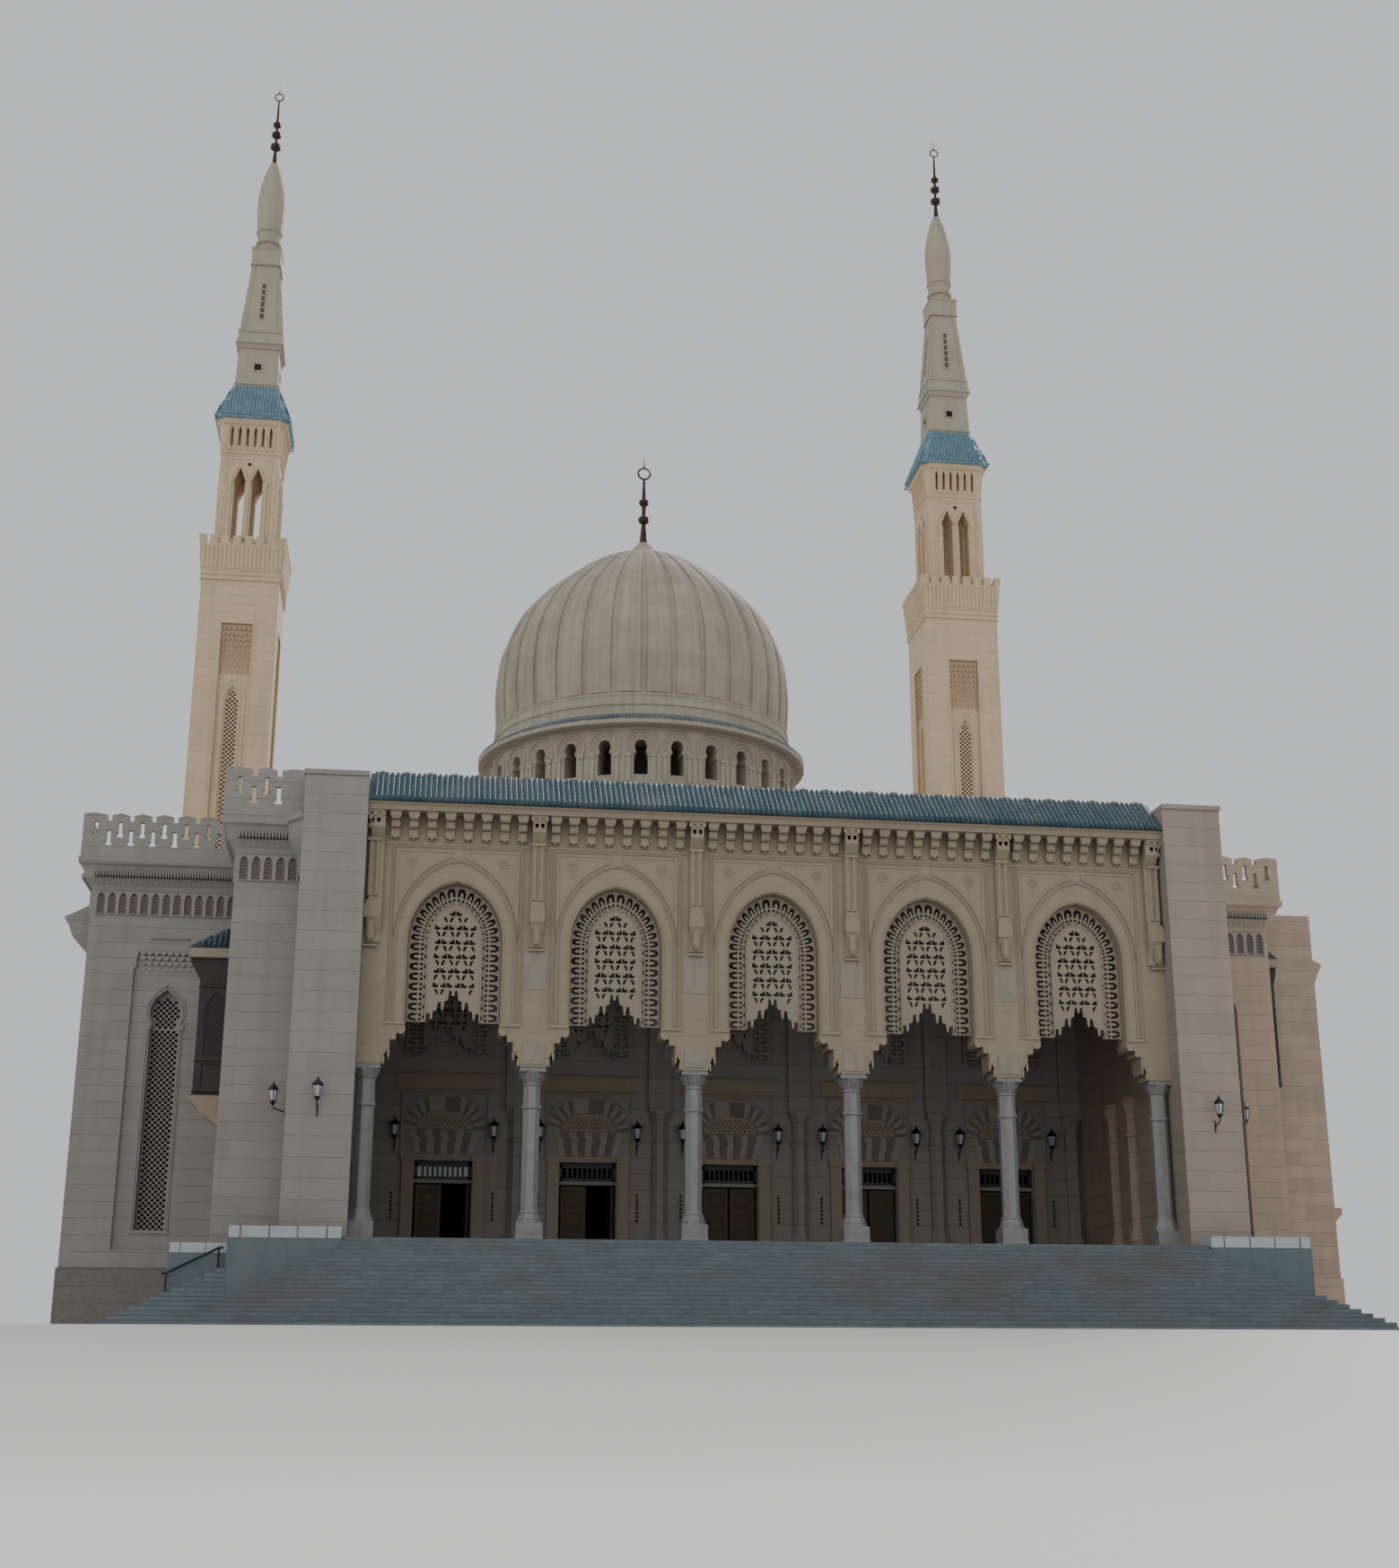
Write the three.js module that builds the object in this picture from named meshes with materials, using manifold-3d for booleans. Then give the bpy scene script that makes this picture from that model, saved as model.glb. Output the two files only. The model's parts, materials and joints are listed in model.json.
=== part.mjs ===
// Mosque with an arcaded porch, a gored dome and two square minarets, as a 1:10 scale model.
// Lengths below are metres of the real building. One metre becomes METRE model millimetres at the end.
// X runs to the right along the porch, Y into the building, Z up. Z 0 is the terrace it stands on.

import * as THREE from 'three';
import { mergeVertices } from 'three/addons/utils/BufferGeometryUtils.js';
import Module from 'manifold-3d';

const wasm = await Module();
wasm.setup();

const METRE = 100;
const GAP = 0.003;
const CLEAR = 0.08;

// Porch and its floor
const FLOOR = 3.25;
const BAY = 6.27;
const BAYS = 5;
const PORCH_HALF = 16.1;
const PORCH_EDGE = -1.5;
const CHEEK = 16.2;
const BACK_WALL_Y = 12.5;

// Steps in front of the platform, and the planter walls beside them
const RISERS = 20;
const RISE = FLOOR / RISERS;
const TREAD = 0.289;
const STEP_HALF = 15.62;
const PLANTER_FRONT = -1.72;
const PLANTER_END = 20.18;

// Arcade
const ARCADE_FRONT = 0.95;
const ARCADE_BACK = 2.05;
const CAPITAL_TOP = 9.84;
const ARCADE_TOP = 20.0;
const ARCH_HALF = 1.81;
const ARCH_SPRING = 14.7;
const ARCH_RISE = 2.3;
const CORBELS_PER_BAY = 8;

// Pylons, setback blocks, wings and hall
const PYLON_OUT = 18.55;
const PYLON_BACK = 3.0;
const PYLON_TOP = 21.1;
const BLOCK_OUT = 21.2;
const BLOCK_FRONT = 2.2;
const RIGHT_BLOCK_OUT = 24.7;
const RIGHT_BLOCK_FRONT = 10.0;
const BLOCK_WALL = 0.8;
const BLOCK_TOP = 21.58;
const WING_OUT = 28.4;
const WING_FRONT = 13.3;
const WING_TOP = 22.54;
const WALL = 1.0;
const HALL_BACK = 75.0;
const ROOF_UNDER = 19.0;
const ROOF_TOP = 19.8;
const RIGHT_PARAPET_FROM = 26.0;

// Parapets: merlons with low points, narrow crenels and two rows of slits
const OVERHANG = 0.55;
const PARAPET_THICK = 0.22;
const FIRST_CRENEL = 1.13;
const MERLON_PITCH = 0.955;

// Dome
const DOME_Y = 50.0;
const DRUM_SIDES = 28;
const GORES = 32;

// Minarets
const MINARET_X = 29.5;
const MINARET_Y = 78.053;

const STONE = { color: 0xcbb9a0, roughness: 0.75, metalness: 0 };
const PALE_STONE = { color: 0xd8cdb9, roughness: 0.7, metalness: 0 };
const MARBLE = { color: 0xb9bcb8, roughness: 0.5, metalness: 0 };
const TILE = { color: 0x2f7f93, roughness: 0.3, metalness: 0 };
const WOOD = { color: 0x3a251a, roughness: 0.55, metalness: 0 };
const BRONZE = { color: 0x4a3a2c, roughness: 0.4, metalness: 0.8 };

const model = new THREE.Group();
model.name = 'mosque';

// Makes a closed solid from a three.js geometry
function solid(geometry) {
  geometry.deleteAttribute('normal');
  geometry.deleteAttribute('uv');
  const merged = mergeVertices(geometry, 1e-5);
  const source = merged.index.array;
  const corners = [];
  for (let i = 0; i < source.length; i += 3) {
    const [a, b, c] = [source[i], source[i + 1], source[i + 2]];
    if (a !== b && b !== c && c !== a) corners.push(a, b, c);
  }
  const mesh = new wasm.Mesh({
    numProp: 3,
    vertProperties: new Float32Array(merged.attributes.position.array),
    triVerts: new Uint32Array(corners),
  });
  return new wasm.Manifold(mesh);
}

function box(x0, x1, y0, y1, z0, z1) {
  const geometry = new THREE.BoxGeometry(x1 - x0, y1 - y0, z1 - z0);
  geometry.translate((x0 + x1) / 2, (y0 + y1) / 2, (z0 + z1) / 2);
  return solid(geometry);
}

function outline(points) {
  return new THREE.Shape(points.map(([a, b]) => new THREE.Vector2(a, b)));
}

// Points are (x, z), pushed along Y from y0 to y1
function alongY(points, y0, y1) {
  const geometry = new THREE.ExtrudeGeometry(outline(points), { depth: y1 - y0, bevelEnabled: false });
  geometry.rotateX(Math.PI / 2);
  geometry.translate(0, y1, 0);
  return solid(geometry);
}

// Points are (y, z), pushed along X from x0 to x1
function alongX(points, x0, x1) {
  const geometry = new THREE.ExtrudeGeometry(outline(points), { depth: x1 - x0, bevelEnabled: false });
  geometry.rotateX(Math.PI / 2);
  geometry.rotateZ(Math.PI / 2);
  geometry.translate(x0, 0, 0);
  return solid(geometry);
}

// Profile is (radius, z) from the axis to the axis, turned about a vertical axis at x, y
function turned(profile, sides, x, y, turn = 0) {
  const points = profile.map(([r, z]) => new THREE.Vector2(r, z));
  const geometry = new THREE.LatheGeometry(points, sides, turn, Math.PI * 2);
  geometry.rotateX(Math.PI / 2);
  geometry.translate(x, y, 0);
  return solid(geometry);
}

// Skin over a stack of rings, one for each [size, z] in the profile
function lofted(profile, ringOf) {
  const rings = profile.map(([r, z]) => ringOf(r).map(([x, y]) => [x, y, z]));
  const n = rings[0].length;
  const points = rings.flat(2);
  const corners = [];
  for (let k = 0; k + 1 < rings.length; k += 1) {
    for (let i = 0; i < n; i += 1) {
      const [a, b] = [k * n + i, k * n + ((i + 1) % n)];
      corners.push(a, b, b + n, a, b + n, a + n);
    }
  }
  const last = (rings.length - 1) * n;
  for (let i = 1; i + 1 < n; i += 1) {
    corners.push(0, i + 1, i);
    corners.push(last, last + i, last + i + 1);
  }
  const geometry = new THREE.BufferGeometry();
  geometry.setAttribute('position', new THREE.Float32BufferAttribute(points, 3));
  geometry.setIndex(corners);
  return solid(geometry);
}

// A square block with sloping sides, from one half width to another
function tapered(x, y, half0, z0, half1, z1) {
  const profile = [[0, z0], [half0 * Math.SQRT2, z0], [half1 * Math.SQRT2, z1], [0, z1]];
  return turned(profile, 4, x, y, Math.PI / 4);
}

function join(list) {
  return list.reduce((sum, next) => sum.add(next));
}

function mirrored(shape, side) {
  return side < 0 ? shape.mirror([1, 0, 0]) : shape;
}

function add(name, shape, look) {
  const mesh = shape.getMesh();
  const geometry = new THREE.BufferGeometry();
  const points = [];
  for (let i = 0; i < mesh.vertProperties.length; i += mesh.numProp) {
    points.push(mesh.vertProperties[i] * METRE);
    points.push(mesh.vertProperties[i + 1] * METRE);
    points.push(mesh.vertProperties[i + 2] * METRE);
  }
  geometry.setAttribute('position', new THREE.Float32BufferAttribute(points, 3));
  geometry.setIndex(Array.from(mesh.triVerts));
  geometry.computeVertexNormals();
  const node = new THREE.Mesh(geometry, new THREE.MeshStandardMaterial(look));
  node.name = name;
  model.add(node);
}

// Entrance steps: the first ones stop at the planter walls, the lower ones wrap round in front of them
const slabs = [];
for (let k = 1; k < RISERS; k += 1) {
  const top = FLOOR - k * RISE;
  const edge = PORCH_EDGE - k * TREAD;
  const half = STEP_HALF + k * TREAD;
  if (half < CHEEK) {
    slabs.push(box(-CHEEK + GAP, CHEEK - GAP, edge, PORCH_EDGE - GAP, 0, top));
  } else {
    slabs.push(box(-half, half, edge, PLANTER_FRONT - GAP, 0, top));
  }
}
add('entrance_steps', join(slabs), MARBLE);

// Porch platform
add('porch_floor', box(-PORCH_HALF + GAP, PORCH_HALF - GAP, -0.5, BACK_WALL_Y - GAP, 0, FLOOR)
  .add(box(-CHEEK + GAP, CHEEK - GAP, PORCH_EDGE, -GAP, 0, FLOOR)), MARBLE);

// Planter walls beside the steps, with a row of stone boxes on top, and a lower one at the left end
for (const side of [-1, 1]) {
  const pieces = [
    box(CHEEK, PLANTER_END, PLANTER_FRONT, -GAP, 0, 3.15),
    box(CHEEK + 0.04, PLANTER_END - 0.03, PLANTER_FRONT + 0.06, -0.5, 3.1, 3.57),
  ];
  if (side < 0) {
    pieces.push(box(PLANTER_END - 0.1, 22.3, -0.74, -GAP, 0, 2.66));
    pieces.push(box(PLANTER_END + 0.05, 22.25, -0.7, -0.1, 2.6, 3.03));
  }
  add(side < 0 ? 'planter_wall_left' : 'planter_wall_right', mirrored(join(pieces), side), MARBLE);
}

// Side steps against the ends of the planter walls, going down outwards
for (const side of [-1, 1]) {
  const count = side < 0 ? 13 : 7;
  const run = 0.36;
  const treads = [];
  for (let k = 0; k < count; k += 1) {
    const x1 = PLANTER_END + GAP + run * (count - k);
    treads.push(box(PLANTER_END + GAP, x1, PLANTER_FRONT, -0.745, 0, RISE * (k + 1)));
  }
  add(side < 0 ? 'left_side_steps' : 'right_side_steps', mirrored(join(treads), side), MARBLE);
}

// Pylons that stop the porch at each end
for (const side of [-1, 1]) {
  const pier = join([
    box(PORCH_HALF, PYLON_OUT, 0, PYLON_BACK, 0, PYLON_TOP - 0.15),
    box(PORCH_HALF, PYLON_OUT + 0.06, -0.06, PYLON_BACK, PYLON_TOP - 0.2, PYLON_TOP),
  ]);
  add(side < 0 ? 'left_pylon' : 'right_pylon', mirrored(pier, side), STONE);
}

// Eight-sided columns on square plinths
const across = 1 / Math.cos(Math.PI / 8);
const columnProfile = [
  [0, 3.9], [0.46, 3.9], [0.46, 4.05], [0.32, 4.5], [0.32, 8.25], [0.37, 8.3], [0.37, 8.42], [0.32, 8.47],
  [0.32, 9.3], [0.36, 9.36], [0.47, 9.62], [0.47, 9.8], [0, 9.8],
].map(([r, z]) => [r * across, z]);
for (let i = 0; i <= BAYS; i += 1) {
  const x = (i - BAYS / 2) * BAY;
  const y = (ARCADE_FRONT + ARCADE_BACK) / 2;
  let column = join([
    box(x - 0.5, x + 0.5, y - 0.5, y + 0.5, FLOOR + GAP, 4.0),
    turned(columnProfile, 8, x, y, Math.PI / 8),
    box(x - 0.5, x + 0.5, y - 0.5, y + 0.5, 9.68, CAPITAL_TOP - GAP),
  ]);
  const reach = PORCH_HALF - GAP;
  column = column.intersect(box(-reach, reach, 0, 4, 0, 12));
  add(`column_${i + 1}`, column, PALE_STONE);
}

// One half of the arch curve, from the springing on the right to the crown: midway from pointed to elliptical
function archCurve(half, spring, rise, steps) {
  const radius = (half * half + rise * rise) / (2 * half);
  const end = Math.atan2(rise, radius - half);
  const points = [];
  for (let i = 0; i <= steps; i += 1) {
    const up = radius * Math.sin((end * i) / steps);
    const pointed = half - radius + radius * Math.cos((end * i) / steps);
    const rounded = half * Math.sqrt(Math.max(1 - (up / rise) ** 2, 0));
    points.push([(pointed + rounded) / 2, spring + up]);
  }
  return points;
}

// Right half of the gap between two columns, from the capital up to the arch's crown
function bayEdge() {
  const h = BAY / 2;
  return [
    [h - 0.5, CAPITAL_TOP], [h - 0.6, 10.1], [h - 0.6, 10.3], [h - 0.78, 10.35], [h - 0.8, 10.75],
    [h - 1.0, 10.8], [h - 1.0, 11.05], [h - 1.36, 11.1], [h - 1.36, 11.3], [ARCH_HALF, 11.4],
    ...archCurve(ARCH_HALF, ARCH_SPRING, ARCH_RISE, 9),
  ];
}

// Arcade wall with its hanging colonnettes and block cornice
const arcadeOutline = [[-PORCH_HALF + GAP, CAPITAL_TOP]];
for (let i = 0; i < BAYS; i += 1) {
  const centre = (i - (BAYS - 1) / 2) * BAY;
  const edge = bayEdge();
  edge.forEach(([x, z]) => arcadeOutline.push([centre - x, z]));
  edge.slice(0, -1).reverse().forEach(([x, z]) => arcadeOutline.push([centre + x, z]));
}
arcadeOutline.push([PORCH_HALF - GAP, CAPITAL_TOP], [PORCH_HALF - GAP, ARCADE_TOP]);
arcadeOutline.push([-PORCH_HALF + GAP, ARCADE_TOP]);
const arcadePieces = [alongY(arcadeOutline, ARCADE_FRONT, ARCADE_BACK)];
const colonnetteSide = [
  [1.0, 14.4], [0.85, 14.5], [0.85, 14.9], [0.6, 15.4], [0.6, 16.2], [0.72, 16.3], [0.72, 18.6],
  [0.35, 19.0], [0.35, 19.7], [1.0, 19.7],
];
const corbelSide = [
  [1.0, 18.7], [0.8, 18.75], [0.8, 19.05], [0.6, 19.05], [0.6, 19.35], [0.4, 19.35], [0.4, 19.7], [1.0, 19.7],
];
for (let i = 0; i <= BAYS; i += 1) {
  const x = (i - BAYS / 2) * BAY;
  const inner = Math.min(Math.max(x, -PORCH_HALF + 0.28), PORCH_HALF - 0.28);
  arcadePieces.push(alongX(colonnetteSide, inner - 0.26, inner + 0.26));
}
for (let i = 0; i < BAYS * CORBELS_PER_BAY; i += 1) {
  const x = (Math.floor(i / CORBELS_PER_BAY) - BAYS / 2) * BAY;
  const step = (BAY - 0.6) / CORBELS_PER_BAY;
  const centre = x + 0.3 + step * ((i % CORBELS_PER_BAY) + 0.5);
  arcadePieces.push(alongX(corbelSide, centre - 0.15, centre + 0.15));
}
arcadePieces.push(box(-PORCH_HALF + GAP, PORCH_HALF - GAP, 0.25, 1.0, 19.65, ARCADE_TOP));
add('arcade_wall', join(arcadePieces), STONE);

// Marble screens in the arch heads, with a stepped lower edge
for (let i = 0; i < BAYS; i += 1) {
  const centre = (i - (BAYS - 1) / 2) * BAY;
  const half = [
    [0.25, 12.9], [0.25, 12.6], [0.45, 12.6], [0.45, 12.25], [0.7, 12.25], [0.7, 11.9], [0.95, 11.9],
    [0.95, 11.55], [ARCH_HALF - GAP, 11.55],
    ...archCurve(ARCH_HALF - GAP, ARCH_SPRING, ARCH_RISE - GAP, 9),
  ];
  const points = half.map(([x, z]) => [centre + x, z]);
  half.slice(0, -1).reverse().forEach(([x, z]) => points.push([centre - x, z]));
  add(`arch_screen_${i + 1}`, alongY(points, 1.35, 1.6), PALE_STONE);
}

// Tiled lean-to roof over the cornice
add('porch_tile_roof', alongX([
  [0.1, ARCADE_TOP + GAP], [1.6, ARCADE_TOP + GAP], [1.6, 21.5], [0.1, 20.12],
], -PORCH_HALF + GAP, PORCH_HALF - GAP), TILE);

// Flat roof behind it, with low pointed humps along the ridge
const crest = [[-PORCH_HALF + GAP, 20.2], [PORCH_HALF - GAP, 20.2]];
const HUMPS = 34;
const humpPitch = (2 * (PORCH_HALF - GAP)) / HUMPS;
for (let i = HUMPS - 1; i >= 0; i -= 1) {
  const x = -PORCH_HALF + GAP + humpPitch * (i + 0.5);
  if (i === HUMPS - 1) crest.push([PORCH_HALF - GAP, 21.5]);
  crest.push([x + 0.36, 21.5], [x, 21.64], [x - 0.36, 21.5]);
}
crest.push([-PORCH_HALF + GAP, 21.5]);
add('porch_roof', join([
  alongY(crest, 1.6 + GAP, 1.95),
  box(-PORCH_HALF + GAP, PORCH_HALF - GAP, 1.6 + GAP, BACK_WALL_Y + 0.4, ARCADE_TOP + GAP, 20.5),
]), STONE);

// A slit that widens to a square foot
function slit(u, top) {
  const [z0, z1, z2] = [top - 0.71, top - 0.52, top];
  return [[u - 0.14, z0], [u + 0.14, z0], [u + 0.14, z1], [u + 0.085, z1],
    [u + 0.085, z2], [u - 0.085, z2], [u - 0.085, z1], [u - 0.14, z1]];
}

// Parapet wall that starts at its outer corner, u 0, and runs inwards to u = length
function merlons(length, foot, top, pointed = true) {
  const points = [[length, foot], [0, foot], [0, top - 0.05]];
  const slits = [];
  let start = 0;
  for (let u = FIRST_CRENEL; u < length - 0.3; u += MERLON_PITCH) {
    if (pointed) points.push([(start + u) / 2, top]);
    points.push([u - 0.1, top - 0.1], [u - 0.1, top - 0.36], [u + 0.1, top - 0.36], [u + 0.1, top - 0.1]);
    slits.push(slit((start + u) / 2, top - 0.4), slit(u, top - 0.78));
    start = u;
  }
  points.push([(start + length) / 2, top - 0.02], [length, top - 0.06]);
  return { points, slits };
}

// The same wall standing across the model at depth y, its outer corner at x
function merlonsAcross(form, x, y) {
  const place = (points) => points.map(([u, z]) => [x - u, z]);
  const wall = alongY(place(form.points), y, y + PARAPET_THICK);
  return wall.subtract(join(form.slits.map((hole) => alongY(place(hole), y - 1, y + 1))));
}

// Cornice that flares out from the wall to the parapet's face, as [offset, z]
function cornice(top) {
  return [[0, top - 3.45], [0.08, top - 3.2], [0.33, top - 2.9], [0.36, top - 2.66], [0.45, top - 2.4],
    [0.6, top - 2.3], [0.62, top - 2.05], [OVERHANG, top - 2.0], [OVERHANG, top - 1.96]];
}

// Front and outer side of a flared corner block, x from x0 outwards, y from y1 forwards
function flared(top, x0, out, front, y1) {
  return lofted(cornice(top), (o) => [[x0, front - o], [out + o, front - o], [out + o, y1], [x0, y1]]);
}

// Half columns on the wall at the porch's end, seen from inside the porch
function endColumns() {
  const pieces = [];
  for (const y of [5.7, 8.0]) {
    pieces.push(turned(columnProfile.map(([r, z]) => [r, z - 0.15]), 8, PORCH_HALF + 0.05, y, Math.PI / 8)
      .intersect(box(PORCH_HALF - 1, PORCH_HALF + 0.5, 0, 20, 0, 20)));
    pieces.push(box(PORCH_HALF - 0.45, PORCH_HALF + 0.5, y - 0.48, y + 0.48, FLOOR + GAP, 3.9));
    pieces.push(box(PORCH_HALF - 0.45, PORCH_HALF + 0.5, y - 0.48, y + 0.48, 9.6, 9.75));
  }
  return pieces;
}

// Crenellated parapet on a block's front and outer side, its front from x0 and its side back to y1
function blockParapet(x0, out, front, y1) {
  const face = front - OVERHANG;
  const edge = out + OVERHANG;
  const onSide = merlons(y1 - face, BLOCK_TOP - 2.0, BLOCK_TOP);
  const intoModel = (points) => points.map(([u, z]) => [face + u, z]);
  const sideWall = alongX(intoModel(onSide.points), edge - PARAPET_THICK, edge)
    .subtract(join(onSide.slits.map((hole) => alongX(intoModel(hole), edge - 1, edge + 1))));
  return [merlonsAcross(merlons(edge - x0, BLOCK_TOP - 2.0, BLOCK_TOP), edge, face), sideWall];
}

// Wooden bay window on a block's outer wall, on a scroll corbel and under a hipped hood.
// It stands out by the share reach of the larger one, and lift higher than that
function bayWindow(wallX, y0, y1, reach, lift) {
  const at = ([x, z]) => [wallX + GAP + (x - BLOCK_OUT) * reach, z + lift];
  const body = alongY([
    [BLOCK_OUT, 7.9], [21.54, 8.05], [22.23, 8.5], [22.56, 8.9], [22.74, 9.0], [22.72, 9.15], [22.54, 9.28],
    [22.54, 13.85], [22.9, 14.35], [23.0, 14.66], [23.06, 14.68], [23.06, 15.05], [BLOCK_OUT, 15.05],
  ].map(at), y0, y1);
  const middle = (y0 + y1) / 2;
  const eaves = (y1 - y0) / 2 + 0.2;
  const [x0, foot] = at([BLOCK_OUT, 15.0]);
  const edge = at([23.1, 0])[0];
  const rings = [[edge, eaves, foot], [edge, eaves, foot + 0.1], [x0 + 0.2, 0.4, foot + 0.7 + 0.6 * reach]];
  const hood = lofted(rings.map((ring, k) => [k, ring[2]]), (k) => {
    const [x1, half] = rings[k];
    return [[x0, middle - half], [x1, middle - half], [x1, middle + half], [x0, middle + half]];
  });
  return body.add(hood);
}

// Left block beside the pylon: walls, roof, flared cornice and crenellated parapet in one
const blockBack = BACK_WALL_Y - GAP;
const besidePylon = PYLON_OUT + 0.06 + GAP;
const leftShell = join([
  box(PORCH_HALF, BLOCK_OUT, BLOCK_FRONT, blockBack, 0, 18.2),
  flared(BLOCK_TOP, PORCH_HALF, BLOCK_OUT, BLOCK_FRONT, blockBack),
]).subtract(box(PORCH_HALF + BLOCK_WALL, BLOCK_OUT - BLOCK_WALL, BLOCK_FRONT + BLOCK_WALL, 20, -1, 19.0))
  .subtract(box(PORCH_HALF - 1, besidePylon, 0, PYLON_BACK + GAP, -1, 30));
// the cornice comes forward at a slant to meet the pylon
const slant = lofted([[0.15, 17.3], [0.3, 18.0], [0.8, 18.7], [0.85, 19.3], [1, 19.36], [1, 19.6], [0.9, 19.7]],
  (s) => [[besidePylon, 2.19 - 1.55 * s], [besidePylon + 0.72 * s, 2.19 - 0.58 * s],
    [besidePylon + 0.72 * s, 2.3], [besidePylon, 2.3]]);
add('left_block', mirrored(join([
  leftShell, slant, box(PORCH_HALF, PORCH_HALF + 0.4, PYLON_BACK + GAP, blockBack, 19.5, 21.4),
  ...blockParapet(besidePylon, BLOCK_OUT, BLOCK_FRONT, blockBack), ...endColumns(),
]).subtract(box(BLOCK_OUT - 2, BLOCK_OUT + 1, 6.3, 8.3, 10.0, 13.8)), -1), STONE);
add('left_bay_window', mirrored(bayWindow(BLOCK_OUT, 5.8, 8.8, 1, 0), -1), WOOD);

// Right block, set further back, with the porch's end wall running from it to the pylon
const endWallOut = PYLON_OUT - 0.15;
const wingPlane = WING_FRONT - GAP;
const rightShell = join([
  box(PORCH_HALF, RIGHT_BLOCK_OUT, RIGHT_BLOCK_FRONT, blockBack, 0, 18.2),
  flared(BLOCK_TOP, PORCH_HALF, RIGHT_BLOCK_OUT, RIGHT_BLOCK_FRONT, blockBack),
  box(BLOCK_OUT + GAP, RIGHT_BLOCK_OUT, 12.4, wingPlane, 0, 19.6),
  box(PORCH_HALF, endWallOut, PYLON_BACK + GAP, 11, 0, 19.6),
]).subtract(box(PORCH_HALF + BLOCK_WALL, RIGHT_BLOCK_OUT - BLOCK_WALL, RIGHT_BLOCK_FRONT + BLOCK_WALL, 20, -1, 19.0))
  .subtract(box(PORCH_HALF + BLOCK_WALL, endWallOut - BLOCK_WALL, PYLON_BACK + BLOCK_WALL, 12, -1, 19.0));
add('right_block', join([
  rightShell, box(PORCH_HALF, PORCH_HALF + 0.4, PYLON_BACK + GAP, blockBack, 19.5, 21.4),
  box(endWallOut - 0.35, endWallOut, PYLON_BACK + GAP, 10.5, 19.5, 21.0),
  ...blockParapet(endWallOut - 0.3, RIGHT_BLOCK_OUT, RIGHT_BLOCK_FRONT, blockBack), ...endColumns(),
]).subtract(box(RIGHT_BLOCK_OUT - 2, RIGHT_BLOCK_OUT + 1, 11.3, 12.2, 12.2, 15.6)), STONE);
add('right_bay_window', bayWindow(RIGHT_BLOCK_OUT, 10.85, 12.65, 0.37, 2.0), WOOD);

// Tall keyhole window, as [offset from its middle, z]
const tallWindow = [[-0.63, 4.44], [0.63, 4.44], [0.6, 13.0], [0.53, 13.12], [0.53, 13.25], [0.65, 13.6],
  [0.64, 14.0], [0.45, 14.4], [0.12, 14.65], [0, 14.9], [-0.12, 14.65], [-0.45, 14.4], [-0.64, 14.0],
  [-0.65, 13.6], [-0.53, 13.25], [-0.53, 13.12], [-0.6, 13.0]];

const plainWindow = [[-0.63, 4.44], [0.63, 4.44], [0.55, 13.2], [0.65, 13.7], [0.4, 14.5], [0, 14.9],
  [-0.4, 14.5], [-0.65, 13.7], [-0.55, 13.2]];

// Wings: tall front walls set far back on each side. The left one is crenellated, the right one plain
for (const side of [-1, 1]) {
  const inner = BLOCK_OUT - BLOCK_WALL;
  const left = side < 0;
  const middle = 24.83;
  const ledge = WING_FRONT + 0.6;
  let wall = box(inner, WING_OUT, WING_FRONT, WING_FRONT + WALL, 0, ROOF_UNDER - GAP);
  const footFrom = (left ? BLOCK_OUT : RIGHT_BLOCK_OUT) + GAP;
  wall = wall.add(box(footFrom, WING_OUT + 0.08, WING_FRONT - 0.08, WING_FRONT + 0.5, 0, 2.85));
  if (left) {
    const outX = WING_OUT + OVERHANG;
    wall = join([wall,
      box(inner, WING_OUT, WING_FRONT, ledge, 18.9, 19.2),
      flared(WING_TOP, inner, WING_OUT, WING_FRONT, ledge),
      merlonsAcross(merlons(outX - inner, WING_TOP - 2.0, WING_TOP), outX, WING_FRONT - OVERHANG),
      box(outX - PARAPET_THICK, outX, WING_FRONT - OVERHANG, ledge, WING_TOP - 2.0, WING_TOP - 0.36)]);
    wall = wall.subtract(alongY([[middle - 1.5, 3.6], [middle + 1.5, 3.6], [middle + 1.5, 15.6],
      [middle + 1.4, 15.8], [middle + 1.4, 16.1], [middle + 1.3, 16.48], [middle - 1.3, 16.48],
      [middle - 1.4, 16.1], [middle - 1.4, 15.8], [middle - 1.5, 15.6]], WING_FRONT - 1, WING_FRONT + 0.15));
    wall = wall.subtract(alongY(tallWindow.map(([u, z]) => [middle + u, z]), WING_FRONT - 1, WING_FRONT + 3));
  } else {
    wall = wall.add(box(inner, WING_OUT, WING_FRONT, ledge, 18.9, ROOF_TOP));
  }
  add(left ? 'left_wing_front' : 'right_wing_front', mirrored(wall, side), STONE);
}

// Hall walls with tall windows. A scroll bracket stands out near the front of each side
const hallInner = WING_OUT - WALL;
for (const side of [-1, 1]) {
  let wall = box(hallInner, WING_OUT, WING_FRONT + WALL + GAP, HALL_BACK, 0, ROOF_UNDER - GAP);
  const lift = side < 0 ? 0 : -0.45;
  wall = wall.add(alongY([[WING_OUT - 0.1, 16.5], [WING_OUT + 0.05, 16.5], [28.72, 16.74], [29.0, 17.0], [29.45, 17.48],
    [29.6, 17.9], [29.72, 18.1], [29.86, 18.33], [28.52, 19.06], [WING_OUT + 0.01, 19.06], [WING_OUT + 0.005, 18.99],
    [WING_OUT - 0.1, 18.99],
  ].map(([x, z]) => [x, z + lift]), 15.4, 16.9));
  for (let i = 0; i < 7; i += 1) {
    const y = 20.5 + i * 8.0;
    wall = wall.subtract(alongX(plainWindow.map(([u, z]) => [y + u, z]), hallInner - 1, WING_OUT + 1));
  }
  add(side < 0 ? 'left_hall_wall' : 'right_hall_wall', mirrored(wall, side), STONE);
}
let rearWall = box(-hallInner + GAP, hallInner - GAP, HALL_BACK - WALL, HALL_BACK, 0, ROOF_UNDER - GAP);
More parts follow.
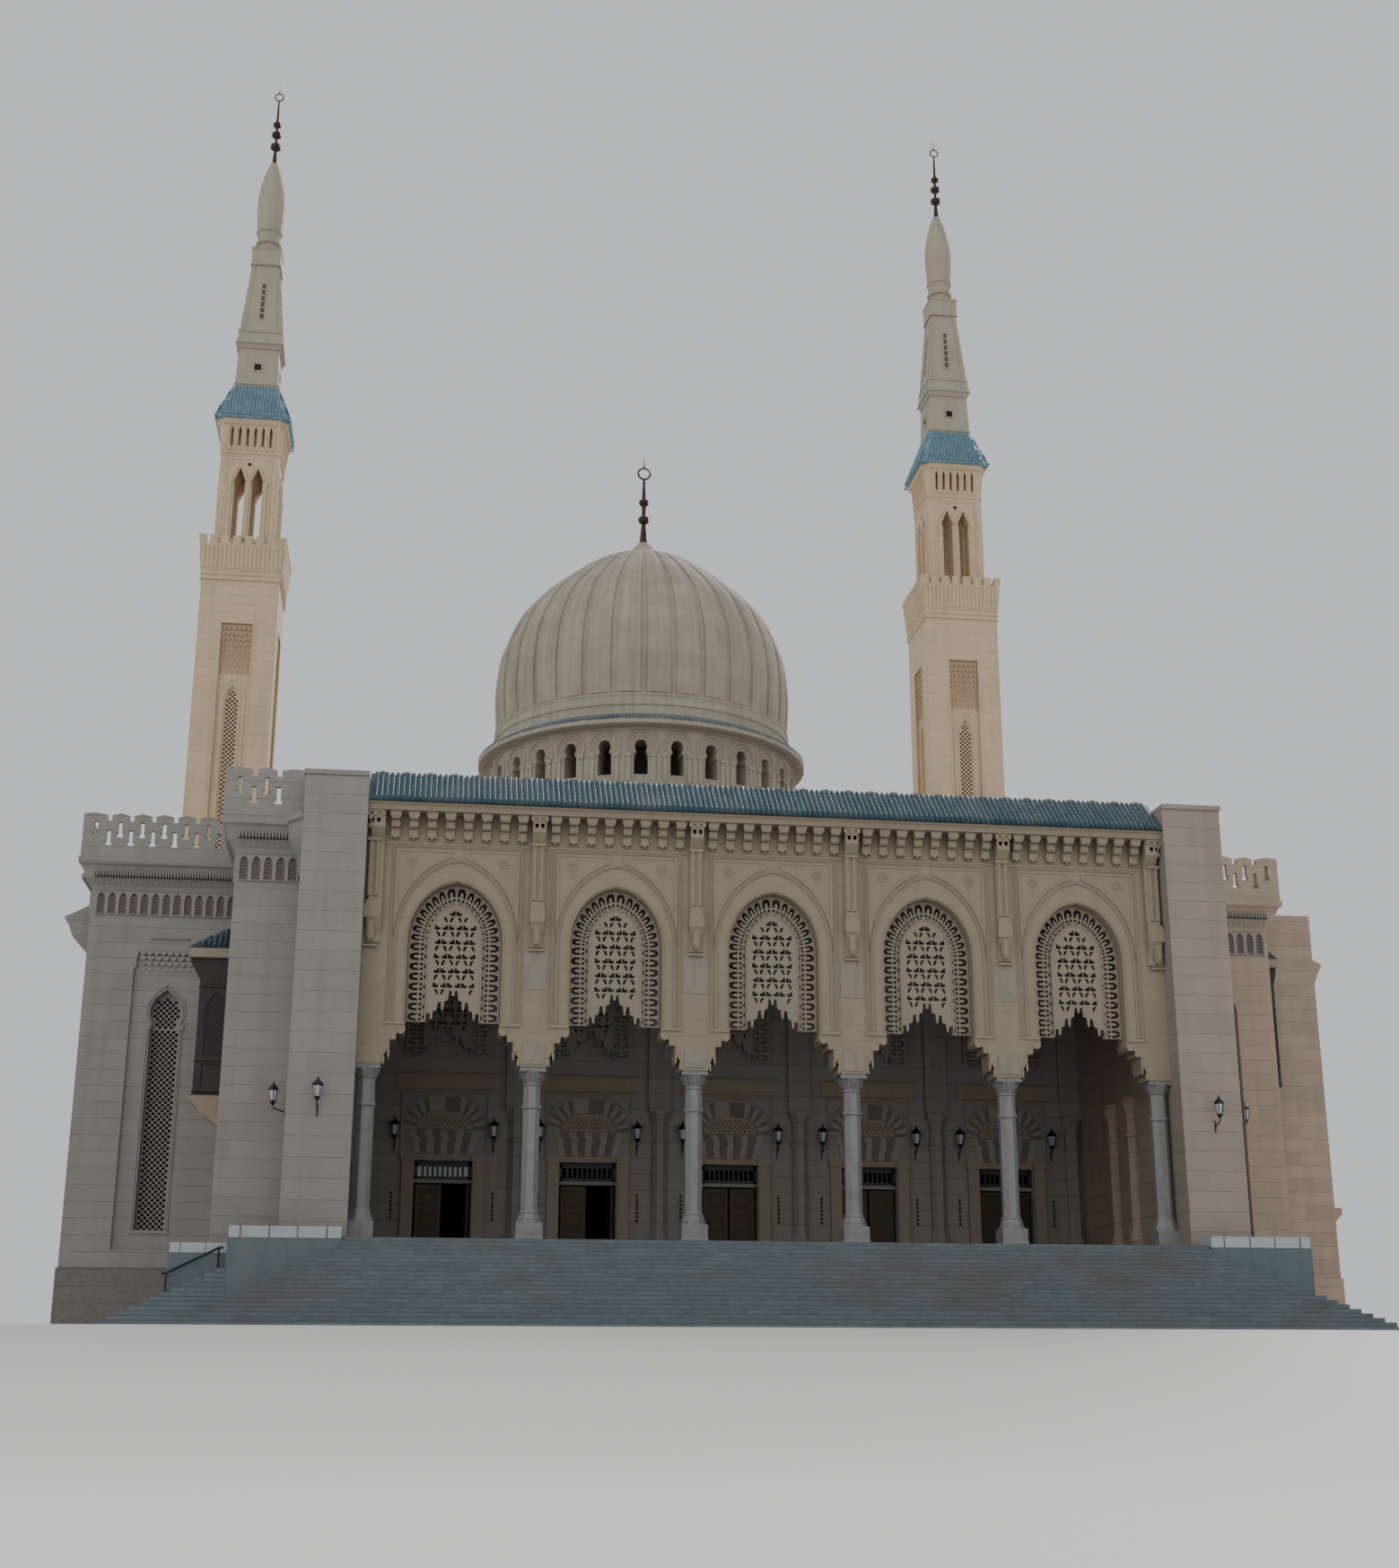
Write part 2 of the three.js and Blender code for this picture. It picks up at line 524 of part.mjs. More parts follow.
for (let i = -2; i <= 2; i += 1) {
  rearWall = rearWall.subtract(alongY(plainWindow.map(([u, z]) => [i * 10 + u, z]), HALL_BACK - 3, HALL_BACK + 1));
}
add('rear_hall_wall', rearWall, STONE);

add('hall_floor', join([
  box(-hallInner + GAP, hallInner - GAP, WING_FRONT + WALL + GAP, HALL_BACK - WALL - GAP, 0, FLOOR),
  box(-20.39, 20.39, WING_FRONT + GAP, WING_FRONT + WALL + 0.5, 0, FLOOR),
]), MARBLE);

// Flat hall roof with a round opening under the dome
add('hall_roof', join([
  box(-WING_OUT, WING_OUT, WING_FRONT + 0.6 + GAP, HALL_BACK, ROOF_UNDER, ROOF_TOP),
  box(-20.39, 20.39, WING_FRONT + GAP, WING_FRONT + 1.5, ROOF_UNDER, ROOF_TOP),
]).subtract(turned([[0, 18], [11.2, 18], [11.2, 21], [0, 21]], 28, 0, DOME_Y)), STONE);

// Crenellated parapet round the left, back and right of the roof, with the same flared cornice
const sideProfile = [[WING_OUT - 0.25, ROOF_TOP + GAP], [WING_OUT + GAP, ROOF_TOP + GAP],
  ...cornice(WING_TOP).map(([o, z]) => [WING_OUT + Math.max(o, 2 * GAP), z]),
  [WING_OUT + OVERHANG, WING_TOP - 1.9], [WING_OUT + 0.2, WING_TOP - 1.9], [WING_OUT - 0.25, WING_TOP - 2.0]];
const parapetPieces = [];
for (const side of [-1, 1]) {
  const from = side < 0 ? WING_FRONT + 0.6 + GAP : RIGHT_PARAPET_FROM;
  const form = merlons(HALL_BACK - 0.01 - from, WING_TOP - 1.95, WING_TOP, false);
  const wall = alongX(form.points.map(([u, z]) => [from + u, z]),
    WING_OUT + OVERHANG - PARAPET_THICK, WING_OUT + OVERHANG);
  parapetPieces.push(mirrored(alongY(sideProfile, from, HALL_BACK - 0.01).add(wall), side));
}
const rearForm = merlons(52.8, WING_TOP - 1.95, WING_TOP, false);
parapetPieces.push(alongX(sideProfile.map(([x, z]) => [x - WING_OUT + HALL_BACK, z]), -26.4, 26.4));
parapetPieces.push(alongY(rearForm.points.map(([u, z]) => [26.4 - u, z]),
  HALL_BACK + OVERHANG - PARAPET_THICK, HALL_BACK + OVERHANG));
parapetPieces.push(box(-WING_OUT, WING_OUT, HALL_BACK - 0.25, HALL_BACK - 0.01, ROOF_TOP + GAP, WING_TOP - 1.95));
add('roof_parapet', join(parapetPieces), STONE);

// Round base of the drum
add('drum_base', turned([[0, ROOF_TOP + GAP], [12.2, ROOF_TOP + GAP], [12.2, 31.5], [11.0, 33.0], [0, 33.0]],
  28, 0, DOME_Y)
  .subtract(turned([[0, 18], [11.2, 18], [11.2, 31], [8.6, 32.4], [8.6, 34], [0, 34]], 28, 0, DOME_Y)), STONE);

// Wall at the back of the porch with five doorways and a half column between each two
const doorHalf = 1.23;
const doorTop = 7.44;
const railFoot = 6.51;
let backWall = join([
  box(-BLOCK_OUT, BLOCK_OUT, BACK_WALL_Y, WING_FRONT - GAP, 0, 17.0),
  box(-20.4 + GAP, 20.4 - GAP, BACK_WALL_Y, WING_FRONT - GAP, 16.9, ARCADE_TOP),
  box(-20.4 + GAP, 20.4 - GAP, BACK_WALL_Y + 0.43, WING_FRONT - GAP, ARCADE_TOP - 0.1, 21.4),
]);
for (let i = 0; i <= BAYS; i += 1) {
  const x = (i - BAYS / 2) * BAY;
  const reach = PORCH_HALF - GAP;
  backWall = backWall.add(join([
    turned(columnProfile, 8, x, BACK_WALL_Y - 0.03, Math.PI / 8),
    box(x - 0.48, x + 0.48, BACK_WALL_Y - 0.45, BACK_WALL_Y + 0.2, FLOOR + GAP, 4.0),
    box(x - 0.48, x + 0.48, BACK_WALL_Y - 0.45, BACK_WALL_Y + 0.2, 9.68, 9.84),
    box(x - 0.5, x + 0.5, BACK_WALL_Y - 0.2, BACK_WALL_Y + 0.2, 9.8, 19.9),
  ]).intersect(box(-reach, reach, 0, BACK_WALL_Y + 0.5, 0, 20)));
}
for (let i = 0; i < BAYS; i += 1) {
  const x = (i - (BAYS - 1) / 2) * BAY;
  backWall = backWall.subtract(box(x - doorHalf, x + doorHalf, 5, 20, FLOOR, doorTop));
  backWall = backWall.add(box(x - doorHalf - 0.1, x + doorHalf + 0.1, 12.75, 12.95, railFoot, railFoot + 0.16));
}
add('porch_back_wall', backWall, STONE);

// Door leaves, hung in pairs, with the right leaf of the first two doorways open as seen
const leafThick = 0.1;
const leafTop = 6.45;
const leafY = 12.85;
const pinRadius = 0.035;
const openAtRest = { '1_right': 86, '2_right': 86 };
for (let i = 0; i < BAYS; i += 1) {
  const x = (i - (BAYS - 1) / 2) * BAY;
  for (const side of [-1, 1]) {
    const edge = x + side * (doorHalf - CLEAR);
    const middle = x + side * 0.035;
    let leaf = box(Math.min(edge, middle), Math.max(edge, middle), leafY - leafThick / 2,
      leafY + leafThick / 2, FLOOR + 0.06, leafTop);
    const name = `${i + 1}_${side < 0 ? 'left' : 'right'}`;
    const hinge = edge - side * leafThick / 2;
    leaf = leaf.add(turned([
      [0, FLOOR + GAP], [pinRadius, FLOOR + GAP], [pinRadius, railFoot - GAP], [0, railFoot - GAP],
    ], 8, hinge, leafY));
    const angle = (openAtRest[name] ?? 0) * -side;
    leaf = leaf.translate([-hinge, -leafY, 0]).rotate([0, 0, angle]).translate([hinge, leafY, 0]);
    add(`door_${name}_leaf`, leaf, WOOD);
  }
}

// Drum: a ring of keyhole windows under a flared cornice
const drumProfile = [[0, 33.0 + GAP], [10.1, 33.0 + GAP], [10.1, 36.75], [10.75, 36.9], [10.75, 37.2],
  [9.75, 37.75], [9.75, 39.0], [9.5, 39.2], [0, 39.2]];
let drum = turned(drumProfile, 28, 0, DOME_Y)
  .subtract(turned([[0, 30], [8.6, 30], [8.6, 50], [0, 50]], 28, 0, DOME_Y));
const keyhole = [[-0.42, 33.8], [0.42, 33.8], [0.42, 35.08], [0.28, 35.23], [0.4, 35.58], [0.28, 35.93],
  [0, 36.08], [-0.28, 35.93], [-0.4, 35.58], [-0.28, 35.23], [-0.42, 35.08]];
for (let i = 0; i < DRUM_SIDES / 2; i += 1) {
  const slot = alongY(keyhole, -12, 12);
  drum = drum.subtract(slot.rotate([0, 0, (360 * (i + 0.5)) / DRUM_SIDES]).translate([0, DOME_Y, 0]));
}
add('dome_drum', drum, PALE_STONE);

// Dome: 32 flat gores with narrow fillets between them
const domeProfile = [
  [9.5, 39.2], [9.6, 41.6], [9.5, 43.6], [9.1, 45.1], [8.0, 47.3], [6.1, 49.3], [3.6, 51.3], [1.0, 52.4],
  [0.55, 52.9], [0.3, 53.4],
];
function goredRing(radius) {
  const ring = [];
  for (let i = 0; i < GORES; i += 1) {
    for (const part of [-0.36, 0.36]) {
      const a = ((i + part) / GORES) * Math.PI * 2;
      ring.push([radius * Math.sin(a), -radius * Math.cos(a)]);
    }
  }
  return ring;
}
const domeShell = lofted(domeProfile.map(([r, z]) => [r, z + GAP]), goredRing).translate([0, DOME_Y, 0])
  .subtract(turned([[0, 38], [8.9, 38], [8.9, 43.0], [7.6, 46.6], [5.0, 49.2], [0, 51.0]], 28, 0, DOME_Y));
add('dome', domeShell, PALE_STONE);

// Spike with balls and a ring on the dome
function finial(x, y, foot, parts, ringZ, ringR, tip, stem) {
  const profile = [[0, foot], [stem * 1.6, foot], [stem * 0.9, parts[0][0] - parts[0][1]]];
  for (const [z, r] of parts) {
    profile.push([stem * 0.8, z - r * 0.9], [r, z - r * 0.35], [r, z + r * 0.35], [stem * 0.8, z + r * 0.9]);
  }
  profile.push([stem * 0.45, ringZ - ringR], [0, ringZ - ringR]);
  const ring = new THREE.TorusGeometry(ringR, ringR * 0.16, 5, 14);
  ring.rotateX(Math.PI / 2);
  ring.translate(x, y, ringZ);
  const point = turned([[0, ringZ + ringR * 0.9], [ringR * 0.14, ringZ + ringR * 0.9], [0, tip]], 6, x, y);
  return join([turned(profile, 8, x, y), solid(ring), point]);
}
add('dome_finial', finial(0, DOME_Y, 53.4 + 2 * GAP, [[55.2, 0.38], [56.5, 0.34]], 58.7, 0.42, 60.1, 0.18), BRONZE);

// Minarets
for (const side of [-1, 1]) {
  const x = MINARET_X;
  const y = MINARET_Y;
  const word = side < 0 ? 'left' : 'right';
  const put = (name, shape, look) => add(`${word}_minaret_${name}`, mirrored(shape, side), look);
  const halfShaft = 3.05;

  let shaft = box(x - halfShaft, x + halfShaft, y - halfShaft, y + halfShaft, 0, 59.4);
  const panel = box(x - 1.25, x + 1.25, -halfShaft - 1, -halfShaft + 0.2, 3.4, 55.7);
  const light = alongY([[x - 0.55, 6], [x + 0.55, 6], [x + 0.55, 49.2], [x + 0.4, 50.0], [x, 50.5],
    [x - 0.4, 50.0], [x - 0.55, 49.2]], -halfShaft - 1, -halfShaft + 0.5);
  for (let i = 0; i < 4; i += 1) {
    const cut = panel.add(light).translate([-x, 0, 0]).rotate([0, 0, 90 * i]).translate([x, y, 0]);
    shaft = shaft.subtract(cut);
  }
  let rail = join([tapered(x, y, 3.12, 60.1, 3.3, 62.2), tapered(x, y, 3.3, 62.15, 3.45, 63.0)])
    .subtract(box(x - 2.95, x + 2.95, y - 2.95, y + 2.95, 61.9, 64));
  for (let i = 0; i < 7; i += 1) {
    const p = -2.7 + i * 0.9;
    rail = rail.subtract(box(x + p - 0.15, x + p + 0.15, y - 5, y + 5, 62.35, 64));
    rail = rail.subtract(box(x - 5, x + 5, y + p - 0.15, y + p + 0.15, 62.35, 64));
  }
  shaft = join([shaft, box(x - 3.12, x + 3.12, y - 3.12, y + 3.12, 59.3, 60.2), rail]);
  put('shaft', shaft, STONE);

  const lantern = box(x - 2.35, x + 2.35, y - 2.35, y + 2.35, 61.9 + GAP, 70.9);
  const lancet = [[-0.42, 63.2], [0.42, 63.2], [0.42, 68.0], [0.5, 68.3], [0.2, 69.0], [0, 69.5], [-0.2, 69.0],
    [-0.5, 68.3], [-0.42, 68.0]];
  const chamfered = ([half, chamfer]) => [[x - half + chamfer, y - half], [x + half - chamfer, y - half],
    [x + half, y - half + chamfer], [x + half, y + half - chamfer], [x + half - chamfer, y + half],
    [x - half + chamfer, y + half], [x - half, y + half - chamfer], [x - half, y - half + chamfer]];
  let stage = lantern.add(lofted([[[2.36, 0.02], 70.7], [[2.4, 0.1], 71.2], [[2.62, 0.45], 73.2],
    [[2.85, 0.6], 73.4], [[2.85, 0.6], 73.65]], chamfered));
  for (const p of [-0.7, 0.7]) {
    const cut = alongY(lancet.map(([u, z]) => [u + p, z]), -5, 5);
    stage = stage.subtract(cut.translate([x, y, 0]));
    stage = stage.subtract(cut.rotate([0, 0, 90]).translate([x, y, 0]));
  }
  for (let i = 0; i < 6; i += 1) {
    const p = -1.55 + i * 0.62;
    const opening = alongY([[-0.11, 71.3], [0.11, 71.3], [0.11, 72.7], [0, 73.1], [-0.11, 72.7]], -5, -1.9);
    for (let k = 0; k < 4; k += 1) {
      stage = stage.subtract(opening.translate([p, 0, 0]).rotate([0, 0, 90 * k]).translate([x, y, 0]));
    }
  }
  put('lantern', stage, STONE);

  const hood = lofted([[[3.0, 0.62], 73.65 + GAP], [[3.0, 0.62], 73.85], [[2.25, 0.3], 75.9], [[1.78, 0.05], 77.1]],
    chamfered);
  put('roof', hood, TILE);

  const spire = join([tapered(x, y, 1.75, 77.1 + GAP, 1.62, 80.8), tapered(x, y, 1.64, 80.7, 1.86, 81.2),
    tapered(x, y, 1.86, 81.1, 1.72, 82.3), tapered(x, y, 1.7, 82.2, 1.1, 89.0), tapered(x, y, 1.2, 88.9, 1.2, 90.6)]);
  const bulb = turned([[0, 90.5], [0.9, 90.5], [0.9, 91.4], [1.0, 92.4], [1.14, 94.2], [1.18, 95.6], [1.1, 96.6],
    [0.92, 97.5], [0.68, 98.5], [0.3, 99.5], [0, 99.5]], 16, x, y);
  put('spire', spire.add(bulb), PALE_STONE);
  put('finial', finial(x, y, 99.5 + GAP, [[101.24, 0.46], [102.45, 0.42], [103.47, 0.35]], 106.3, 0.37, 107.8, 0.16),
    BRONZE);
}

export default model;
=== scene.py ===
"""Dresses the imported 1:10 model of a mosque: carved stone, glazed tiles, timber, lanterns and a plain stage.

Lengths in this file are metres of the real building. METRE turns them into metres of the model.
X runs to the right along the porch, Y into the building and Z up from the terrace.
"""

import json
import math

import bmesh
import bpy
from mathutils import Matrix, Vector
from mathutils.geometry import delaunay_2d_cdt

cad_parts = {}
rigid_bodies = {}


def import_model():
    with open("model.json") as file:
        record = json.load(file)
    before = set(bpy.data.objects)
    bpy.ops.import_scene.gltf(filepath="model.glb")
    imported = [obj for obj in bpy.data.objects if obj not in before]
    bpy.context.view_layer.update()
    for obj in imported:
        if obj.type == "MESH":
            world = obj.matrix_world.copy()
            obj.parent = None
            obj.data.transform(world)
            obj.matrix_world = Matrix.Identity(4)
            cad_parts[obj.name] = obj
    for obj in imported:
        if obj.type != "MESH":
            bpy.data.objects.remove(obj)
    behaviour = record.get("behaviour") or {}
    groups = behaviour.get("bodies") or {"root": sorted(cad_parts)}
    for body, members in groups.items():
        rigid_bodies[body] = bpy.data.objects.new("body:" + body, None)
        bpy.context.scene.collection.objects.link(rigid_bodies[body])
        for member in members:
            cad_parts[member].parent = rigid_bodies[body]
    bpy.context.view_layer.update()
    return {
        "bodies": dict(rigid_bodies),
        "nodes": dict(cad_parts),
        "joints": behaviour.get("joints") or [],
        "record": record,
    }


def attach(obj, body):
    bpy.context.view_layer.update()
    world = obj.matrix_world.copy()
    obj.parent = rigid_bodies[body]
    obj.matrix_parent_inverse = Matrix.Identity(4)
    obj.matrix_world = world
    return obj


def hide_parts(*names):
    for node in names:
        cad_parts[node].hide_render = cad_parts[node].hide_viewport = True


bl_info = {
    "name": "Mosque with an arcaded porch",
    "version": (1, 0, 0),
    "blender": (4, 5, 0),
    "location": "View3D > Sidebar > Mosque",
    "description": "Carved stone, glazed tiles, timber and lanterns for the packed model of a mosque",
    "category": "Object",
}

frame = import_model()

METRE = 0.1
BUILDING = "building"
FACES_WITHOUT_HOLES = 5  # what delaunay_2d_cdt gives back: faces between an outline and its holes

# Porch
FLOOR = 3.25
BAY = 6.27
BAYS = 5
PORCH_HALF = 16.1
ARCADE_FRONT = 0.95
ARCH_HALF = 1.81
ARCH_SPRING = 14.7
ARCH_RISE = 2.3
BACK_WALL_Y = 12.5
DOOR_HALF = 1.23
DOOR_HEAD = 7.44

# Blocks, wings, dome and minarets
PYLON_OUT = 18.55
BLOCK_OUT = 21.2
BLOCK_FRONT = 2.2
BLOCK_TOP = 21.58
RIGHT_BLOCK_OUT = 24.7
RIGHT_BLOCK_FRONT = 10.0
WING_OUT = 28.4
WING_FRONT = 13.3
WING_TOP = 22.54
WING_WINDOW_X = -24.83
HALL_BACK = 75.0
DOME_Y = 50.0
DRUM_WINDOWS = 28
DRUM_TILES = 300
GORES = 32
MINARET_X = 29.5
MINARET_Y = 78.053
MINARET_HALF = 3.05


def linear(code):
    """An sRGB hex colour as linear red, green and blue."""
    parts = [int(code[i:i + 2], 16) / 255 for i in (1, 3, 5)]
    return tuple(c / 12.92 if c <= 0.04045 else ((c + 0.055) / 1.055) ** 2.4 for c in parts)


def colour(code, name, description):
    return bpy.props.FloatVectorProperty(
        name=name, description=description, subtype="COLOR", size=3, min=0, max=1, default=linear(code))


def length(real, name, description):
    """A length property in the model's metres, from metres of the real building."""
    return bpy.props.FloatProperty(
        name=name, description=description, unit="LENGTH", min=0, default=real * METRE, precision=4)


class MosqueColours(bpy.types.PropertyGroup):
    """Colours of the finishes"""

    limestone: colour("#86827B", "Limestone", "Sawn facing stone of the walls")
    facade: colour("#8E816E", "Porch stone", "Carved stone of the arcade")
    # painted sunlight: the right block and wing are the same limestone as the walls, painted warmer and
    # lighter for the sun on that side
    sunlit_right_stone: colour("#9E8C7B", "Sunlit warm limestone", "Facing stone of the right block and wing")
    granite: colour("#6A665F", "Granite", "Dark foot of the wings")
    planter: colour("#536368", "Planter marble", "Blue-grey marble of the planter walls")
    box_stone: colour("#A3ACAE", "Planter boxes", "Pale grey stone boxes on the planter walls")
    hollow: colour("#4E3D30", "Hollows", "Shaded stone behind lattices and friezes")
    screen: colour("#898070", "Screen stone", "Pierced marble screens")
    column: colour("#7B7C7A", "Column marble", "Grey marble of the columns")
    step: colour("#57656A", "Step marble", "Worn grey marble of the steps")
    rust: colour("#5A463A", "Rust stain", "Stain that runs out of the joints of the steps")
    dome: colour("#9D9483", "Dome", "Pale facing of the dome and its drum")
    stain: colour("#6C655A", "Rain stain", "Dark streaks below ledges")
    tile: colour("#143F4C", "Porch tiles", "Blue-green glaze of the porch roof")
    faded_tile: colour("#5A7F8D", "Minaret tiles", "Faded glaze of the minaret roofs")
    wood: colour("#1A110D", "Timber", "Dark stained timber of the bays")
    door: colour("#3A301F", "Door bronze", "Brown metal sheets on the doors")
    iron: colour("#17181A", "Iron", "Black lanterns and handrail")
    finial: colour("#3B2A24", "Finial metal", "Dark red-brown finials")
    glass: colour("#AEB4B5", "Lantern glass", "Dull white panes")
    clay: colour("#A88C6E", "Red stone", "Reddish carved panels of the minarets")
    # partly painted sunlight: a warm cream stone, painted lighter and warmer than the walls for the sun on the
    # minarets
    minaret: colour("#C4AE8F", "Minaret stone", "Warm facing stone of the minarets")
    panel: colour("#877E70", "Panel stone", "Darker panels on the piers of the arcade")
    light_stone: colour("#8F8679", "Light arch stones", "Every second stone over the doorways")
    dark_stone: colour("#685F55", "Dark arch stones", "The stones between them")
    shadow: colour("#15130F", "Deep hollows", "Dark space behind slits and lattices")
    floor: colour("#D8D6D2", "Stage floor", "Plain pale floor")


class MosqueSizes(bpy.types.PropertyGroup):
    """Sizes of what repeats"""

    course: length(0.774, "Course height", "Height of one row of facing stones")
    joint: length(0.022, "Joint", "Width of a joint, wider than the real one so that it shows")
    tile_pitch: length(0.21, "Tile pitch", "Distance between two columns of roof tiles")
    tile_rows: bpy.props.IntProperty(
        name="Tile rows", description="Rows of tiles up the porch roof", default=6, min=1)
    star_pitch: length(0.545, "Star pitch", "Distance between two stars of the marble screens")
    frieze_pitch: length(0.47, "Frieze pitch", "Distance between two small arches of the friezes")
    drop_pitch: length(0.128, "Drop pitch", "Distance between two pointed drops under the cornices")
    lattice_pitch: length(
        0.36, "Lattice pitch", "Distance between two openings of the hall's window lattices")
    wing_lattice_pitch: length(
        0.23, "Fine lattice pitch", "Distance between two openings of the wing's lattice")


def colours():
    return bpy.context.scene.mosque_colours


def sizes():
    return bpy.context.scene.mosque_sizes


def real(value):
    """A length property back in metres of the real building."""
    return value / METRE


# Mesh building

class Pile:
    """Points and faces in metres of the real building, made into one piece at the end."""

    def __init__(self):
        self.points = []
        self.faces = []

    def add(self, points, faces):
        first = len(self.points)
        self.points.extend(tuple(p) for p in points)
        self.faces.extend([first + i for i in face] for face in faces)

    def take(self, other, place=lambda x, y, z: (x, y, z)):
        """Copies another pile, each point moved by place."""
        self.add([place(*p) for p in other.points], other.faces)

    def box(self, x0, x1, y0, y1, z0, z1):
        self.skin([
            [(x0, y0, z0), (x1, y0, z0), (x1, y1, z0), (x0, y1, z0)],
            [(x0, y0, z1), (x1, y0, z1), (x1, y1, z1), (x0, y1, z1)],
        ])

    def skin(self, rings, closed=True):
        """Joins rings of equal length, and caps both ends where closed."""
        n = len(rings[0])
        points = [p for ring in rings for p in ring]
        faces = []
        for k in range(len(rings) - 1):
            for i in range(n):
                j = (i + 1) % n
                faces.append([k * n + i, k * n + j, (k + 1) * n + j, (k + 1) * n + i])
        if closed:
            last = (len(rings) - 1) * n
            faces.append(list(range(n))[::-1])
            faces.append([last + i for i in range(n)])
        self.add(points, faces)

    def prism(self, outline, place, near, far):
        """An outline of (u, v) pushed from w = near to w = far."""
        self.skin([[place(u, v, w) for u, v in outline] for w in (near, far)])

    def lathe(self, profile, sides, x, y, turn=0.0):
        """A profile of (radius, z) turned about the upright axis at x, y. Both ends are capped."""
        rings = []
        for r, z in profile:
            ring = []
            for i in range(sides):
                a = turn + math.tau * i / sides
                ring.append((x + r * math.cos(a), y + r * math.sin(a), z))
            rings.append(ring)
        self.skin(rings)

    def rod(self, path, radius, sides=8):
        """A round bar along a path."""
        path = [Vector(p) for p in path]
        rings = []
        for i, p in enumerate(path):
            way = (path[min(i + 1, len(path) - 1)] - path[max(i - 1, 0)]).normalized()
            aside = way.orthogonal().normalized()
            up = way.cross(aside)
            ring = []
            for k in range(sides):
                a = math.tau * k / sides
                ring.append(p + radius * (math.cos(a) * aside + math.sin(a) * up))
            rings.append(ring)
        self.skin(rings)

    def ribbon(self, path, section, place):
        """A moulding: a section of (out, w) follows a path of (u, v). Out is to the left of the way."""
        rings = []
        for i, (u, v) in enumerate(path):
            before = Vector(path[max(i - 1, 0)])
            after = Vector(path[min(i + 1, len(path) - 1)])
            here = Vector((u, v))
            ways = [w.normalized() for w in (here - before, after - here) if w.length > 1e-6]
            way = sum(ways, Vector((0, 0))).normalized()
            stretch = 1 / max(way.dot(ways[0]), 0.5)
            side = Vector((-way.y, way.x)) * stretch
            rings.append([place(u + side.x * out, v + side.y * out, w) for out, w in section])
        self.skin(rings)

    def plate(self, outline, holes, place, near, far):
        """A flat plate with holes, from w = near to w = far."""
        loops = [outline, *holes]
        corners, rounds = [], []
        for loop in loops:
            rounds.append([len(corners) + i for i in range(len(loop))])
            corners.extend(Vector(p) for p in loop)
        found = delaunay_2d_cdt(corners, [], rounds, FACES_WITHOUT_HOLES, 1e-6)
        corners, faces = found[0], found[2]
        self.add([place(u, v, near) for u, v in corners], [list(face)[::-1] for face in faces])
        self.add([place(u, v, far) for u, v in corners], [list(face) for face in faces])
        for loop in loops:
            self.skin([[place(u, v, w) for u, v in loop] for w in (near, far)], closed=False)

    def mesh(self, name, smooth=0.0):
        """The pile as a mesh in the model's metres. Smooth is the widest angle that is shaded round."""
        mesh = bpy.data.meshes.new(name)
        mesh.from_pydata([[c * METRE for c in p] for p in self.points], [], self.faces)
        tidy(mesh, smooth)
        return mesh


def tidy(mesh, smooth=0.0):
    """Merges doubles, drops faces with no area, turns all faces outwards."""
    work = bmesh.new()
    work.from_mesh(mesh)
    bmesh.ops.remove_doubles(work, verts=work.verts, dist=1e-6)
    bmesh.ops.dissolve_degenerate(work, edges=work.edges, dist=1e-7)
    bmesh.ops.recalc_face_normals(work, faces=work.faces)
    work.to_mesh(mesh)
    work.free()
    mesh.polygons.foreach_set("use_smooth", [smooth > 0] * len(mesh.polygons))
    if smooth > 0:
        mesh.set_sharp_from_angle(angle=math.radians(smooth))
    mesh.update()


def piece(name, pile, finish, body=BUILDING, smooth=0.0, replaces=()):
    """Makes a pile one piece of the model that rides on a body."""
    mesh = pile if isinstance(pile, bpy.types.Mesh) else pile.mesh(name, smooth)
    if not mesh.materials:
        mesh.materials.append(finish)
    made = bpy.data.objects.new(name, mesh)
    bpy.context.scene.collection.objects.link(made)
    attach(made, body)
    if replaces:
        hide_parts(*replaces)
    return made


def on_front(y):
    """Places (u, v, w) on a face that looks to the front at depth y. W stands out of it."""
    return lambda u, v, w: (u, y - w, v)


def turned_about(x, y, angle):
    """Turns a point about the upright axis at x, y, from one that is given relative to that axis."""
    c, s = math.cos(angle), math.sin(angle)
    return lambda u, v, w: (x + c * u - s * v, y + s * u + c * v, w)


def arch_width(half, rise, up):
    """Half the width of an arch at a height over its spring: midway from pointed to elliptical."""
    radius = (half * half + rise * rise) / (2 * half)
    pointed = half - radius + math.sqrt(max(radius * radius - up * up, 0))
    rounded = half * math.sqrt(max(1 - (up / rise) ** 2, 0))
    return (pointed + rounded) / 2


def arc(half, spring, rise, steps=16):
    """The right half of an arch as (u, v), from its spring to its crown."""
    radius = (half * half + rise * rise) / (2 * half)
    end = math.asin(min(rise / radius, 1)) if rise <= half else math.atan2(rise, radius - half)
    ups = [min(radius * math.sin(end * i / steps), rise) for i in range(steps)] + [rise]
    return [(arch_width(half, rise, up) if up < rise else 0.0, spring + up) for up in ups]


def arched(half, foot, spring, rise, steps=12, x=0.0):
    """A closed arched outline about u = x."""
    right = arc(half, spring, rise, steps)
    left = [(-u, v) for u, v in reversed(right[:-1])]
    return [(x + u, v) for u, v in [(half, foot), *right, *left, (-half, foot)]]


def moved(loop, u, v):
    return [(a + u, b + v) for a, b in loop]


def rect(u0, u1, v0, v1):
    """A closed rectangle from u0 to u1 across and from v0 to v1 up."""
    return [(u0, v0), (u1, v0), (u1, v1), (u0, v1)]


def over(right):
    """An open outline over an arch: the right half mirrored to the left, then the right half back down."""
    return [(-u, v) for u, v in right] + list(reversed(right[:-1]))


def disc(u, v, radius, sides=16):
    """A closed outline of equal sides round (u, v)."""
    angles = [math.tau * k / sides for k in range(sides)]
    return [(u + radius * math.cos(a), v + radius * math.sin(a)) for a in angles]


def shade(tone, share):
    """A colour with each part times a share, and no part over 1."""
    return [min(c * share, 1) for c in tone]


